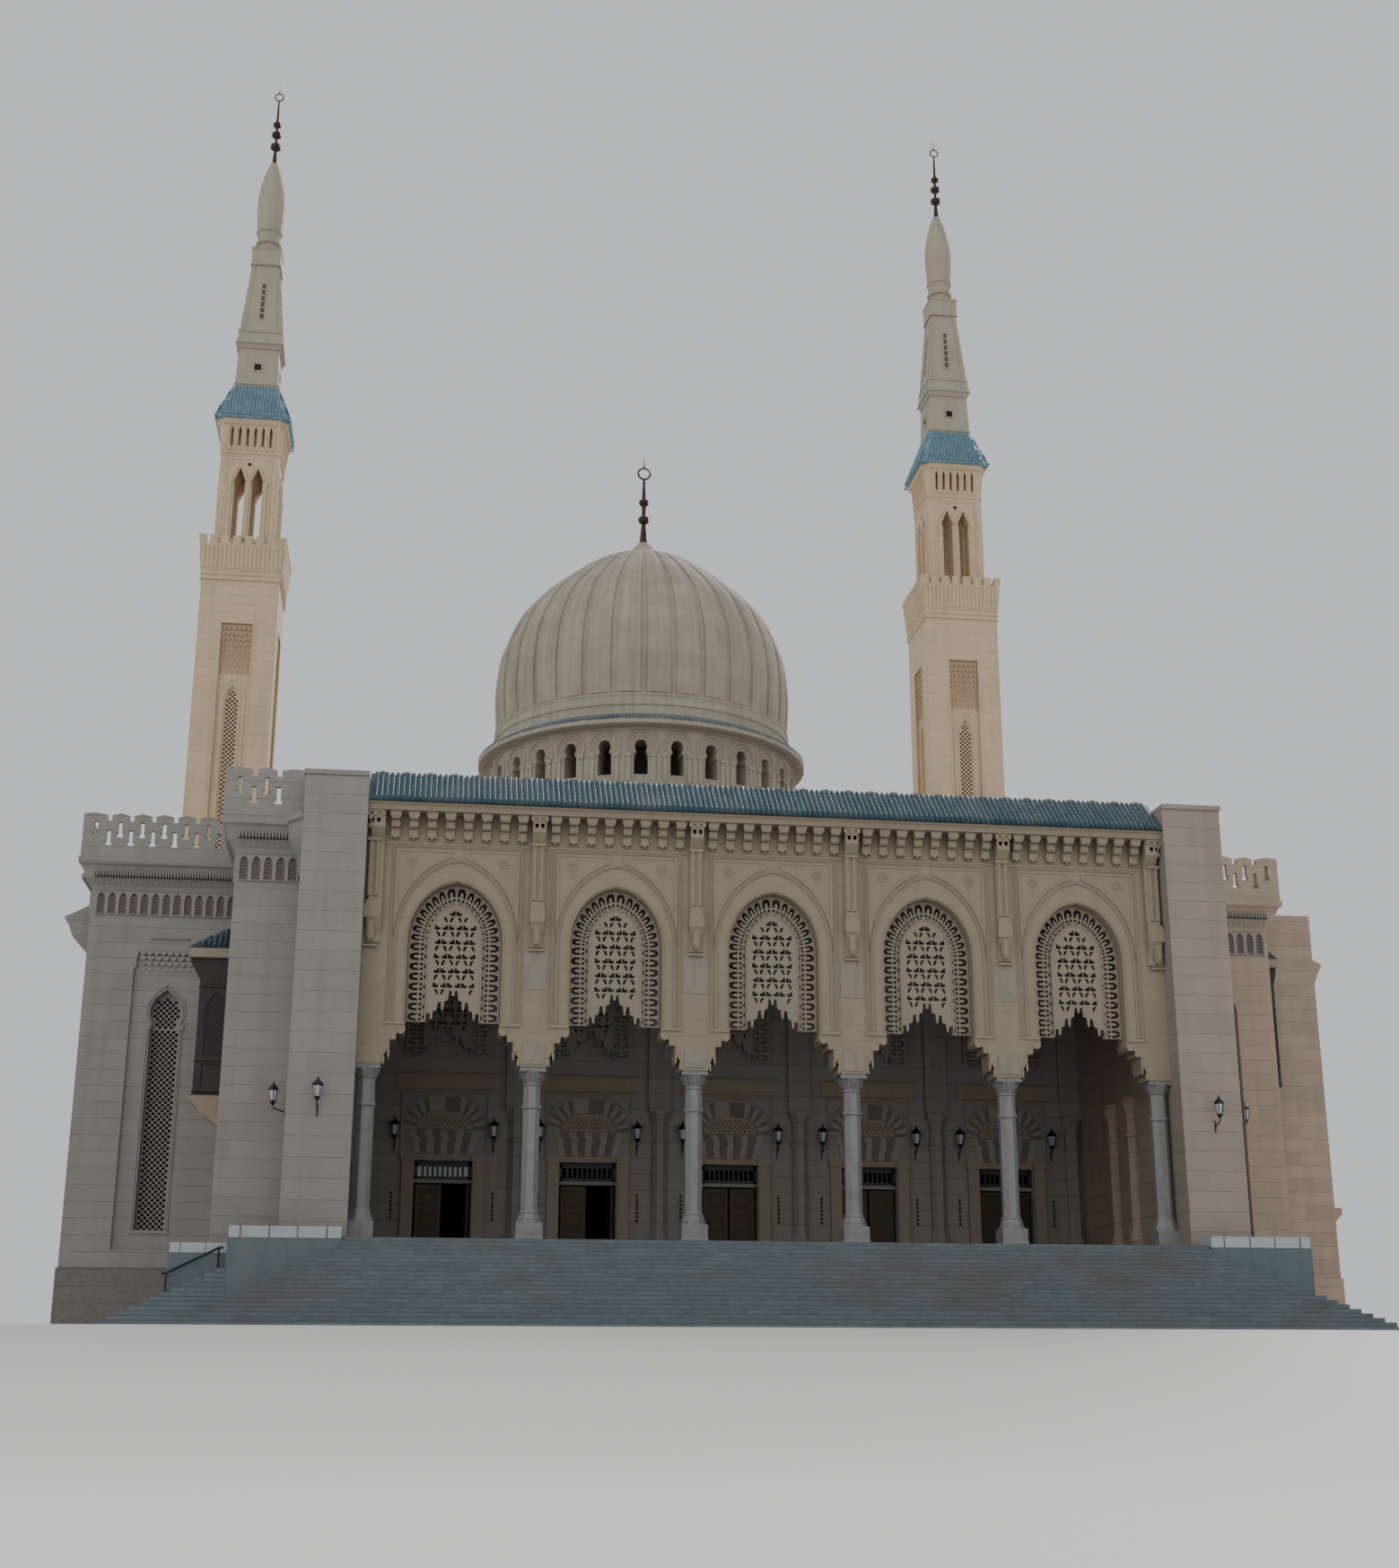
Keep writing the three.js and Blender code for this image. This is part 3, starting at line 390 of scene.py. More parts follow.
def bays():
    """Middle of each bay of the porch."""
    return [(i - (BAYS - 1) / 2) * BAY for i in range(BAYS)]


def pillars():
    """Line of each column of the porch."""
    return [(i - BAYS / 2) * BAY for i in range(BAYS + 1)]


# Nodes for shaders and for geometry

def node(tree, kind, sockets=None, **settings):
    """Adds a node, sets what it is told, and links each socket that is given another socket."""
    made = tree.nodes.new(kind)
    for key, value in settings.items():
        setattr(made, key, value)
    for key, value in (sockets or {}).items():
        if isinstance(value, bpy.types.NodeSocket):
            tree.links.new(value, made.inputs[key])
        else:
            made.inputs[key].default_value = value
    return made


def new_tree(name, inputs):
    """A geometry node group with named inputs, given as {name: (socket type, default)}."""
    tree = bpy.data.node_groups.new(name, "GeometryNodeTree")
    tree.interface.new_socket("Geometry", in_out="INPUT", socket_type="NodeSocketGeometry")
    tree.interface.new_socket("Geometry", in_out="OUTPUT", socket_type="NodeSocketGeometry")
    for label, (kind, default) in inputs.items():
        socket = tree.interface.new_socket(label, in_out="INPUT", socket_type=kind)
        if default is not None:
            socket.default_value = default
    start = node(tree, "NodeGroupInput")
    return tree, start.outputs


def end_tree(tree, instances, finish):
    """Ends a group: instances made real, with their finish."""
    whole = node(tree, "GeometryNodeRealizeInstances", {"Geometry": instances})
    painted = node(tree, "GeometryNodeSetMaterial", {"Geometry": whole.outputs[0], "Material": finish})
    node(tree, "NodeGroupOutput", {"Geometry": painted.outputs[0]})
    return tree


def copies_in_rows():
    """Copies of a piece in a row along one step, and rows along a second step."""
    tree, given = new_tree("Copies in rows", {
        "Piece": ("NodeSocketObject", None),
        "Finish": ("NodeSocketMaterial", None),
        "Start": ("NodeSocketVector", (0, 0, 0)),
        "Count": ("NodeSocketInt", 1),
        "Step": ("NodeSocketVector", (0, 0, 0)),
        "Rows": ("NodeSocketInt", 1),
        "Row step": ("NodeSocketVector", (0, 0, 0)),
    })
    row = node(tree, "GeometryNodeMeshLine", {
        "Count": given["Count"], "Start Location": given["Start"], "Offset": given["Step"]})
    rows = node(tree, "GeometryNodeMeshLine", {"Count": given["Rows"], "Offset": given["Row step"]})
    lines = node(tree, "GeometryNodeInstanceOnPoints", {
        "Points": rows.outputs[0], "Instance": row.outputs[0]})
    places = node(tree, "GeometryNodeRealizeInstances", {"Geometry": lines.outputs[0]})
    source = node(tree, "GeometryNodeObjectInfo", {"Object": given["Piece"]})
    copies = node(tree, "GeometryNodeInstanceOnPoints", {
        "Points": places.outputs[0], "Instance": source.outputs["Geometry"]})
    return end_tree(tree, copies.outputs[0], given["Finish"])


def copies_in_ring():
    """Copies of a piece turned about an upright axis, from a first angle on by equal steps."""
    tree, given = new_tree("Copies in a ring", {
        "Piece": ("NodeSocketObject", None),
        "Finish": ("NodeSocketMaterial", None),
        "Centre": ("NodeSocketVector", (0, 0, 0)),
        "Count": ("NodeSocketInt", 8),
        "First angle": ("NodeSocketFloat", 0.0),
        "Angle step": ("NodeSocketFloat", 0.1),
    })
    points = node(tree, "GeometryNodeMeshLine", {
        "Count": given["Count"], "Start Location": given["Centre"], "Offset": (0, 0, 0)})
    index = node(tree, "GeometryNodeInputIndex")
    along = maths(tree, "MULTIPLY", index.outputs[0], given["Angle step"])
    angle = maths(tree, "ADD", along.outputs[0], given["First angle"])
    turn = node(tree, "ShaderNodeCombineXYZ", {"Z": angle.outputs[0]})
    source = node(tree, "GeometryNodeObjectInfo", {"Object": given["Piece"]})
    copies = node(tree, "GeometryNodeInstanceOnPoints", {
        "Points": points.outputs[0], "Instance": source.outputs["Geometry"], "Rotation": turn.outputs[0]})
    return end_tree(tree, copies.outputs[0], given["Finish"])


def grown(tree_name, pattern, finish, values, smooth=0.0):
    """Runs a geometry node group on a pattern pile and gives the result as a plain mesh."""
    makers = {"Copies in rows": copies_in_rows, "Copies in a ring": copies_in_ring}
    tree = bpy.data.node_groups.get(tree_name) or makers[tree_name]()
    pattern_object = bpy.data.objects.new("pattern", pattern.mesh("pattern", smooth))
    holder = bpy.data.objects.new("copies", bpy.data.meshes.new("copies"))
    bpy.context.scene.collection.objects.link(pattern_object)
    bpy.context.scene.collection.objects.link(holder)
    modifier = holder.modifiers.new("Copies", "NODES")
    modifier.node_group = tree
    identifiers = {s.name: s.identifier for s in tree.interface.items_tree if s.in_out == "INPUT"}
    modifier[identifiers["Piece"]] = pattern_object
    modifier[identifiers["Finish"]] = finish
    for label, value in values.items():
        modifier[identifiers[label]] = value
    seen = holder.evaluated_get(bpy.context.evaluated_depsgraph_get())
    mesh = bpy.data.meshes.new_from_object(seen)
    # the copies bring an empty material slot of their own before the finish
    mesh.materials.clear()
    mesh.materials.append(finish)
    mesh.polygons.foreach_set("material_index", [0] * len(mesh.polygons))
    old_mesh, old_pattern = holder.data, pattern_object.data
    holder.modifiers.clear()
    bpy.data.objects.remove(holder)
    bpy.data.objects.remove(pattern_object)
    bpy.data.meshes.remove(old_mesh)
    bpy.data.meshes.remove(old_pattern)
    return mesh


def scaled(values):
    return tuple(v * METRE for v in values)


def rows_of(pattern, finish, start, count, step, rows=1, row_step=(0, 0, 0), smooth=0.0):
    return grown("Copies in rows", pattern, finish, {
        "Start": scaled(start), "Count": count, "Step": scaled(step),
        "Rows": rows, "Row step": scaled(row_step),
    }, smooth)


def ring_of(pattern, finish, centre, count, first, step, smooth=0.0):
    return grown("Copies in a ring", pattern, finish, {
        "Centre": scaled(centre), "Count": count, "First angle": first, "Angle step": step,
    }, smooth)


def joined(name, meshes):
    """Several meshes with the same finish as one."""
    work = bmesh.new()
    for mesh in meshes:
        work.from_mesh(mesh)
    whole = bpy.data.meshes.new(name)
    work.to_mesh(whole)
    work.free()
    for material in meshes[0].materials:
        whole.materials.append(material)
    for mesh in meshes:
        bpy.data.meshes.remove(mesh)
    return whole


# Finishes

finishes = {}


def shaded(name, roughness=0.6, metallic=0.0, coat=0.0):
    """A new material with a Principled shader, and its object coordinates."""
    material = bpy.data.materials.new(name)
    material.use_nodes = True
    tree = material.node_tree
    tree.nodes.clear()
    shader = node(tree, "ShaderNodeBsdfPrincipled", {
        "Roughness": roughness, "Metallic": metallic, "Coat Weight": coat})
    node(tree, "ShaderNodeOutputMaterial", {"Surface": shader.outputs[0]})
    place = node(tree, "ShaderNodeTexCoord").outputs["Object"]
    return material, tree, shader, place


def maths(tree, operation, first, second, **settings):
    """A maths node on two sockets or numbers."""
    return node(tree, "ShaderNodeMath", {0: first, 1: second}, operation=operation, **settings)


def noise(tree, place, scale, detail, **sockets):
    """A noise texture at a place, with any of its other sockets by name."""
    return node(tree, "ShaderNodeTexNoise", {"Vector": place, "Scale": scale, "Detail": detail, **sockets})


def mixed(tree, amount, first, second, mode="MIX"):
    """Mixes two colours, given as sockets or as linear red, green and blue."""
    made = node(tree, "ShaderNodeMix", data_type="RGBA", blend_type=mode)
    for index, value in ((0, amount), (6, first), (7, second)):
        if isinstance(value, bpy.types.NodeSocket):
            tree.links.new(value, made.inputs[index])
        else:
            made.inputs[index].default_value = (*value, 1) if index else value
    return made.outputs[2]


def stained(tree, place, across, base, stain, amount):
    """Blotches a few metres wide and rain streaks that run down upright faces, over a base colour."""
    blotch = noise(tree, place, 3.0, 5.0, Roughness=0.6)
    parts = node(tree, "ShaderNodeSeparateXYZ", {"Vector": place})
    thin = maths(tree, "MULTIPLY", across, 18.0)
    tall = maths(tree, "MULTIPLY", parts.outputs["Z"], 0.9)
    streaks = node(tree, "ShaderNodeCombineXYZ", {"X": thin.outputs[0], "Z": tall.outputs[0]})
    streak = noise(tree, streaks.outputs[0], 1.0, 4.0)
    both = maths(tree, "MULTIPLY", blotch.outputs["Fac"], streak.outputs["Fac"])
    share = node(tree, "ShaderNodeMapRange", {
        "Value": both.outputs[0], "From Min": 0.22, "From Max": 0.42, "To Min": 0.0, "To Max": amount})
    upright = maths(tree, "MULTIPLY", share.outputs[0], upright_share(tree))
    return mixed(tree, upright.outputs[0], base, stain)


def upright_share(tree):
    """1 on upright faces and 0 on level ones."""
    geometry = node(tree, "ShaderNodeNewGeometry")
    normal = node(tree, "ShaderNodeSeparateXYZ", {"Vector": geometry.outputs["Normal"]})
    level = node(tree, "ShaderNodeMath", {0: normal.outputs["Z"]}, operation="ABSOLUTE")
    return maths(tree, "SUBTRACT", 1.0, level.outputs[0], use_clamp=True).outputs[0]


def level_lines(tree, z, pitch, width, strength):
    """Thin level lines at every multiple of a pitch, on upright faces only."""
    away = maths(tree, "PINGPONG", z, pitch / 2)
    line = node(tree, "ShaderNodeMapRange", {
        "Value": away.outputs[0], "From Min": 0.0, "From Max": width, "To Min": strength, "To Max": 0.0})
    return maths(tree, "MULTIPLY", line.outputs[0], upright_share(tree)).outputs[0]


def ashlar(name, base, course_real, roughness=0.7, spread=0.05, stain=0.3, line=0.6, foot=None):
    """Sawn blocks in level courses. The level joints show as thin dark lines, the upright ones hardly at all.

    The pattern is laid on X + Y and Z, so that it runs level round every upright face. Each block has its own
    shade, and rain has left streaks. Foot is a height and a colour: the wall is of another stone below it.
    """
    material, tree, shader, place = shaded(name, roughness)
    parts = node(tree, "ShaderNodeSeparateXYZ", {"Vector": place})
    across = node(tree, "ShaderNodeMath", {0: parts.outputs["X"], 1: parts.outputs["Y"]}).outputs[0]
    wall = node(tree, "ShaderNodeCombineXYZ", {"X": across, "Y": parts.outputs["Z"]})
    course = course_real * METRE
    blocks = node(tree, "ShaderNodeTexBrick", {
        "Vector": wall.outputs[0], "Color1": (*shade(base, 1 + spread), 1),
        "Color2": (*shade(base, 1 - spread), 1), "Mortar": (*shade(base, 0.88), 1), "Scale": 1.0,
        "Mortar Size": sizes().joint / 3, "Mortar Smooth": 0.5,
        "Brick Width": course * 2.2, "Row Height": course,
    }, offset=0.5)
    joint = level_lines(tree, parts.outputs["Z"], course, sizes().joint, line)
    coursed = mixed(tree, joint, blocks.outputs["Color"], shade(base, 0.35))
    grain = noise(tree, place, 60.0, 6.0)
    speckled = mixed(tree, 0.1, coursed, grain.outputs["Color"], "OVERLAY")
    weathered = stained(tree, place, across, speckled, colours().stain, stain)
    if foot:
        height, tone = foot
        below = maths(tree, "LESS_THAN", parts.outputs["Z"], height * METRE)
        dark = mixed(tree, grain.outputs["Fac"], shade(tone, 0.7), shade(tone, 1.3))
        weathered = mixed(tree, below.outputs[0], weathered, mixed(tree, joint, dark, shade(tone, 0.4)))
    tree.links.new(weathered, shader.inputs["Base Color"])
    height = maths(tree, "MULTIPLY", grain.outputs["Fac"], 0.15)
    relief = maths(tree, "SUBTRACT", height.outputs[0], joint)
    bump = node(tree, "ShaderNodeBump", {"Height": relief.outputs[0], "Strength": 0.4, "Distance": 0.002})
    tree.links.new(bump.outputs[0], shader.inputs["Normal"])
    return material


def carved(name, base, roughness=0.65, stain=0.3, vein=0.0):
    """Carved stone with no joints: fine grain, faint blotches, and veins where it is marble."""
    material, tree, shader, place = shaded(name, roughness)
    parts = node(tree, "ShaderNodeSeparateXYZ", {"Vector": place})
    across = node(tree, "ShaderNodeMath", {0: parts.outputs["X"], 1: parts.outputs["Y"]}).outputs[0]
    grain = noise(tree, place, 90.0, 6.0)
    cloud = noise(tree, place, 9.0, 5.0, Distortion=1.5)
    tone = mixed(tree, cloud.outputs["Fac"], shade(base, 0.9), shade(base, 1.08))
    speckled = mixed(tree, 0.1, tone, grain.outputs["Color"], "OVERLAY")
    if vein:
        wave = node(tree, "ShaderNodeTexWave", {
            "Vector": place, "Scale": 3.0, "Distortion": 14.0, "Detail": 4.0, "Detail Scale": 1.2})
        thin = node(tree, "ShaderNodeMapRange", {
            "Value": wave.outputs["Fac"], "From Min": 0.0, "From Max": 0.18, "To Min": vein, "To Max": 0.0})
        speckled = mixed(tree, thin.outputs[0], speckled, shade(base, 0.6))
    weathered = stained(tree, place, across, speckled, colours().stain, stain)
    tree.links.new(weathered, shader.inputs["Base Color"])
    bump = node(tree, "ShaderNodeBump", {"Height": grain.outputs["Fac"], "Strength": 0.25, "Distance": 0.001})
    tree.links.new(bump.outputs[0], shader.inputs["Normal"])
    return material


def worn_steps(name, base):
    """Honed marble slabs about 1.2 m long, clouded blue-grey, with dark lines along the nosings, partly rust
    stain and partly painted shadow under each nosing.
    """
    material, tree, shader, place = shaded(name, 0.45)
    parts = node(tree, "ShaderNodeSeparateXYZ", {"Vector": place})
    across = node(tree, "ShaderNodeMath", {0: parts.outputs["X"], 1: parts.outputs["Y"]}).outputs[0]
    wall = node(tree, "ShaderNodeCombineXYZ", {"X": across, "Y": parts.outputs["Z"]})
    rise = FLOOR / 20 * METRE
    slabs = node(tree, "ShaderNodeTexBrick", {
        "Vector": wall.outputs[0], "Color1": (*shade(base, 1.1), 1),
        "Color2": (*shade(base, 0.88), 1), "Mortar": (*shade(base, 0.75), 1), "Scale": 1.0,
        "Mortar Size": 0.0006, "Mortar Smooth": 0.6, "Brick Width": 0.12, "Row Height": rise,
    }, offset=0.37)
    cloud = noise(tree, place, 14.0, 6.0, Distortion=2.0)
    clouded = mixed(tree, 0.3, slabs.outputs["Color"], cloud.outputs["Fac"], "OVERLAY")
    patch = noise(tree, place, 2.2, 5.0)
    rusty = node(tree, "ShaderNodeMapRange", {
        "Value": patch.outputs["Fac"], "From Min": 0.5, "From Max": 0.75, "To Min": 0.0, "To Max": 0.6})
    worn = mixed(tree, rusty.outputs[0], clouded, colours().rust)
    # painted shadow under each nosing, mixed with the rust stain that runs out of the joints
    nosing_rust_and_shadow = level_lines(tree, parts.outputs["Z"], rise, 0.0022, 0.85)
    lined = mixed(tree, nosing_rust_and_shadow, worn, shade(colours().rust, 0.3))
    tree.links.new(lined, shader.inputs["Base Color"])
    bump = node(tree, "ShaderNodeBump", {"Height": cloud.outputs["Fac"], "Strength": 0.2, "Distance": 0.001})
    tree.links.new(bump.outputs[0], shader.inputs["Normal"])
    return material


def glazed(name, base, roughness=0.45):
    """Fired clay tiles with a blue-green glaze: each has its own depth of colour, and dust dulls some."""
    material, tree, shader, place = shaded(name, roughness, coat=0.1)
    cells = node(tree, "ShaderNodeTexVoronoi", {"Vector": place, "Scale": 45.0})
    cell = node(tree, "ShaderNodeSeparateColor", {"Color": cells.outputs["Color"]})
    deep = shade(base, 0.75)
    light = shade(base, 1.3)
    tone = mixed(tree, cell.outputs["Red"], deep, light)
    dust = noise(tree, place, 5.0, 5.0)
    share = node(tree, "ShaderNodeMapRange", {
        "Value": dust.outputs["Fac"], "From Min": 0.45, "From Max": 0.75, "To Min": 0.0, "To Max": 0.25})
    dusty = mixed(tree, share.outputs[0], tone, colours().limestone)
    tree.links.new(dusty, shader.inputs["Base Color"])
    return material


def oiled_timber(name, base):
    """Dark stained timber, with a grain that runs up the boards."""
    material, tree, shader, place = shaded(name, 0.5)
    stretch = node(tree, "ShaderNodeMapping", {"Vector": place, "Scale": (60.0, 60.0, 4.0)})
    grain = node(tree, "ShaderNodeTexNoise", {
        "Vector": stretch.outputs[0], "Scale": 1.0, "Detail": 6.0, "Distortion": 0.6})
    tone = mixed(tree, grain.outputs["Fac"], shade(base, 0.6), shade(base, 1.7))
    tree.links.new(tone, shader.inputs["Base Color"])
    bump = node(tree, "ShaderNodeBump", {"Height": grain.outputs["Fac"], "Strength": 0.3, "Distance": 0.001})
    tree.links.new(bump.outputs[0], shader.inputs["Normal"])
    return material


def old_metal(name, base, metallic=0.8, roughness=0.45):
    """Painted or patinated metal with dull and worn places."""
    material, tree, shader, place = shaded(name, roughness, metallic)
    wear = noise(tree, place, 30.0, 6.0)
    tone = mixed(tree, wear.outputs["Fac"], shade(base, 0.7), shade(base, 1.4))
    tree.links.new(tone, shader.inputs["Base Color"])
    rough = node(tree, "ShaderNodeMapRange", {
        "Value": wear.outputs["Fac"], "To Min": roughness - 0.12, "To Max": roughness + 0.2})
    tree.links.new(rough.outputs[0], shader.inputs["Roughness"])
    bump = node(tree, "ShaderNodeBump", {"Height": wear.outputs["Fac"], "Strength": 0.15, "Distance": 0.001})
    tree.links.new(bump.outputs[0], shader.inputs["Normal"])
    return material


def lantern_panes(name, base):
    """Dull ribbed glass that takes light from outside."""
    material, tree, shader, place = shaded(name, 0.3)
    ribs = node(tree, "ShaderNodeTexWave", {"Vector": place, "Scale": 40.0})
    tone = mixed(tree, ribs.outputs["Fac"], shade(base, 0.85), base)
    tree.links.new(tone, shader.inputs["Base Color"])
    return material


def dome_facing(name, base):
    """Pale facing slabs in level rows round the dome, dark where rain runs down beside the ribs."""
    material, tree, shader, place = shaded(name, 0.75)
    parts = node(tree, "ShaderNodeSeparateXYZ", {"Vector": place})
    depth = maths(tree, "SUBTRACT", parts.outputs["Y"], DOME_Y * METRE)
    angle = maths(tree, "ARCTAN2", depth.outputs[0], parts.outputs["X"]).outputs[0]
    streaks = node(tree, "ShaderNodeCombineXYZ", {"X": angle, "Z": parts.outputs["Z"]})
    stretch = node(tree, "ShaderNodeMapping", {"Vector": streaks.outputs[0], "Scale": (28.0, 1.0, 1.1)})
    streak = noise(tree, stretch.outputs[0], 1.0, 6.0)
    blotch = noise(tree, place, 2.6, 6.0, Roughness=0.65)
    both = maths(tree, "MULTIPLY", streak.outputs["Fac"], blotch.outputs["Fac"])
    share = node(tree, "ShaderNodeMapRange", {
        "Value": both.outputs[0], "From Min": 0.18, "From Max": 0.42, "To Min": 0.0, "To Max": 0.5})
    slabs = node(tree, "ShaderNodeCombineXYZ", {"X": angle, "Y": parts.outputs["Z"]})
    rows = node(tree, "ShaderNodeTexBrick", {
        "Vector": slabs.outputs[0], "Color1": (*shade(base, 1.07), 1),
        "Color2": (*shade(base, 0.93), 1), "Mortar": (*shade(base, 0.78), 1), "Scale": 1.0,
        "Mortar Size": 0.0012, "Mortar Smooth": 0.4, "Brick Width": math.tau / GORES, "Row Height": 0.105,
    }, offset=0.5)
    weathered = mixed(tree, share.outputs[0], rows.outputs["Color"], colours().stain)
    tree.links.new(weathered, shader.inputs["Base Color"])
    fine = noise(tree, place, 70.0, 5.0)
    bump = node(tree, "ShaderNodeBump", {"Height": fine.outputs["Fac"], "Strength": 0.25, "Distance": 0.001})
    tree.links.new(bump.outputs[0], shader.inputs["Normal"])
    return material


def make_finishes():
    tints = colours()
    course = real(sizes().course)
    finishes.update({
        "wall": ashlar("Sawn limestone ashlar", tints.limestone, 0.70),
        "wing": ashlar("Sawn limestone ashlar on a granite foot", tints.limestone, 0.70,
                       foot=(2.85, tints.granite)),
        "right pylon": ashlar("Sunlit limestone ashlar", linear("#90857A"), 0.774),
        "left pylon": ashlar("Shaded limestone ashlar", tints.limestone, 0.774),
        # painted sunlight: the right block and wing take the warmer, sunlit copy of the limestone
        "right block": ashlar("Sunlit warm limestone ashlar, low courses", tints.sunlit_right_stone, 0.68),
        "right wing": ashlar("Sunlit warm limestone ashlar, lowest courses", tints.sunlit_right_stone, 0.61, spread=0.09),
        "pylon": ashlar("Sawn limestone ashlar, tall courses", tints.limestone, course),
        "facade": ashlar("Honed cream stone", tints.facade, 0.62, spread=0.03, stain=0.2, line=0.2),
        "carving": carved("Carved cream stone", tints.facade, stain=0.2),
        "grey carving": carved("Carved grey limestone", tints.limestone, stain=0.2),
        "screen": carved("Pierced cream marble", tints.screen, stain=0.15, vein=0.1),
        "planter": carved("Clouded blue-grey marble", tints.planter, roughness=0.4, vein=0.25),
        "planter box": carved("Pale grey stone", tints.box_stone, stain=0.15),
        "column": carved("Turned grey marble", tints.column, roughness=0.4, stain=0.15, vein=0.35),
        "steps": worn_steps("Worn grey marble slabs", tints.step),
        "dome": dome_facing("Pale facing slabs", tints.dome),
        "dome carving": carved("Pale cast stone", tints.dome, stain=0.3),
        "tile": glazed("Blue-green glazed clay tiles", tints.tile),
        "faded tile": glazed("Faded glazed clay tiles", tints.faded_tile),
        "drum tile": glazed("Greyed glazed clay tiles", linear("#5F6E78")),
        "timber": oiled_timber("Stained and oiled timber", tints.wood),
        "door": old_metal("Brown metal sheet on doors", tints.door, metallic=0.5, roughness=0.5),
        "iron": old_metal("Black painted iron", tints.iron, metallic=0.3, roughness=0.4),
        "finial": old_metal("Patinated copper", tints.finial, metallic=0.7, roughness=0.4),
        "glass": lantern_panes("Frosted lantern glass", tints.glass),
        "clay": carved("Carved reddish stone", tints.clay, stain=0.25),
        "clay pipe": old_metal("Red-brown painted pipe", tints.rust, metallic=0.1, roughness=0.6),
        # partly painted sunlight: the minaret stone is warm limestone painted lighter for the sun on the
        # minarets
        "minaret": ashlar("Sunlit warm limestone ashlar", tints.minaret, course, spread=0.035, stain=0.25),
        "minaret carving": carved("Carved sunlit warm limestone", tints.minaret, stain=0.2),
        "panel": carved("Veined grey-brown marble", tints.panel, roughness=0.4, vein=0.3),
        "light stone": carved("Light arch stones", tints.light_stone, stain=0.1),
        "dark stone": carved("Dark arch stones", tints.dark_stone, stain=0.1),
        "door trim": old_metal("Worn bronze relief", tints.door, metallic=0.7, roughness=0.4),
        "hollow": carved("Shaded brown stone", tints.hollow, stain=0.0),
        # painted shadow: a near-black stone put on slits, behind lattices and in openings for the dark inside
        # them
        "shadow": carved("Painted shadow in deep hollows", tints.shadow, roughness=0.9, stain=0.0),
    })


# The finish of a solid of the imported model: the first of these words that its name holds decides
FINISH_WORDS = [
    ("planter", "planter"), ("steps", "steps"), ("_floor", "steps"), ("right_block", "right block"),
    ("left_wing_front", "wing"), ("right_wing_front", "right wing"), ("right_hall_wall", "right wing"),
    ("left_pylon", "left pylon"), ("right_pylon", "right pylon"), ("column", "column"),
    ("door_", "door"), ("finial", "finial"), ("bay_window", "timber"), ("porch_tile_roof", "tile"),
    ("minaret_roof", "faded tile"), ("dome", "dome"), ("spire", "dome carving"),
    ("arcade_wall", "facade"), ("porch_roof", "carving"), ("minaret", "minaret")]


def finish_of(name):
    """The finish of a solid by its name, which is that of the plain walls where no word fits."""
    return next((finish for word, finish in FINISH_WORDS if word in name), "wall")


class MOSQUE_OT_solids(bpy.types.Operator):
    """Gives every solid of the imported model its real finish"""

    bl_idname = "mosque.solids"
    bl_label = "Walls and floors"

    def execute(self, context):
        make_finishes()
        for name, solid in frame["nodes"].items():
            solid.data.materials.clear()
            solid.data.materials.append(finishes[finish_of(name)])
        return {"FINISHED"}


# Marble screens in the arches

def band_cell(points_in, points_out):
    """Maps (along, out) in 0..1 into the cell between two inner and two outer points."""
    (a0, a1), (b0, b1) = points_in, points_out

    def place(along, out):
        inner = [p + (q - p) * along for p, q in zip(a0, a1)]
        outer = [p + (q - p) * along for p, q in zip(b0, b1)]
        return tuple(p + (q - p) * out for p, q in zip(inner, outer))

    return place


def band_path(half, foot, rise, side_cells, head_cells):
    """Points up the left side, over the head and down the right side of an arch."""
    sides = [(half, foot + (ARCH_SPRING - foot) * i / side_cells) for i in range(side_cells)]
    head = arc(half, ARCH_SPRING, rise, head_cells)
    right = sides + head
    return over(right)


TONGUE = [(0.12, 0.42), (0.12, 0.74), (0.3, 0.95), (0.7, 0.95), (0.88, 0.74), (0.88, 0.42), (0.64, 0.5),
          (0.64, 0.68), (0.5, 0.78), (0.36, 0.68), (0.36, 0.5)]
TONGUE_EYE = [(0.25, 0.04), (0.75, 0.04), (0.5, 0.18)]
TONGUE_LEAF = [(0.08, 0.26), (0.36, 0.18), (0.42, 0.34), (0.2, 0.38)]
STAR_SLASH = [(0.06, 0.2), (0.09, 0.25), (0.17, 0.21), (0.2, 0.13), (0.2, 0.06), (0.13, 0.06), (0.12, 0.13)]
STAR_BOOT = [(0.04, -0.21), (0.23, -0.21), (0.22, -0.04), (0.14, -0.05), (0.13, -0.11), (0.04, -0.11)]
SCREEN_EDGE = [
    (0.05, 12.57), (0.06, 12.76), (0.15, 12.8), (0.2, 12.4), (0.33, 12.36), (0.36, 12.04), (0.4, 11.98),
    (0.44, 12.04), (0.47, 12.34), (0.58, 12.3), (0.62, 12.0), (0.75, 11.96), (0.78, 11.68), (0.82, 11.62),
    (0.86, 11.68), (0.89, 11.9), (1.02, 11.86),
]
INNER_HALF = 1.02
SCREEN_FOOT = 11.55


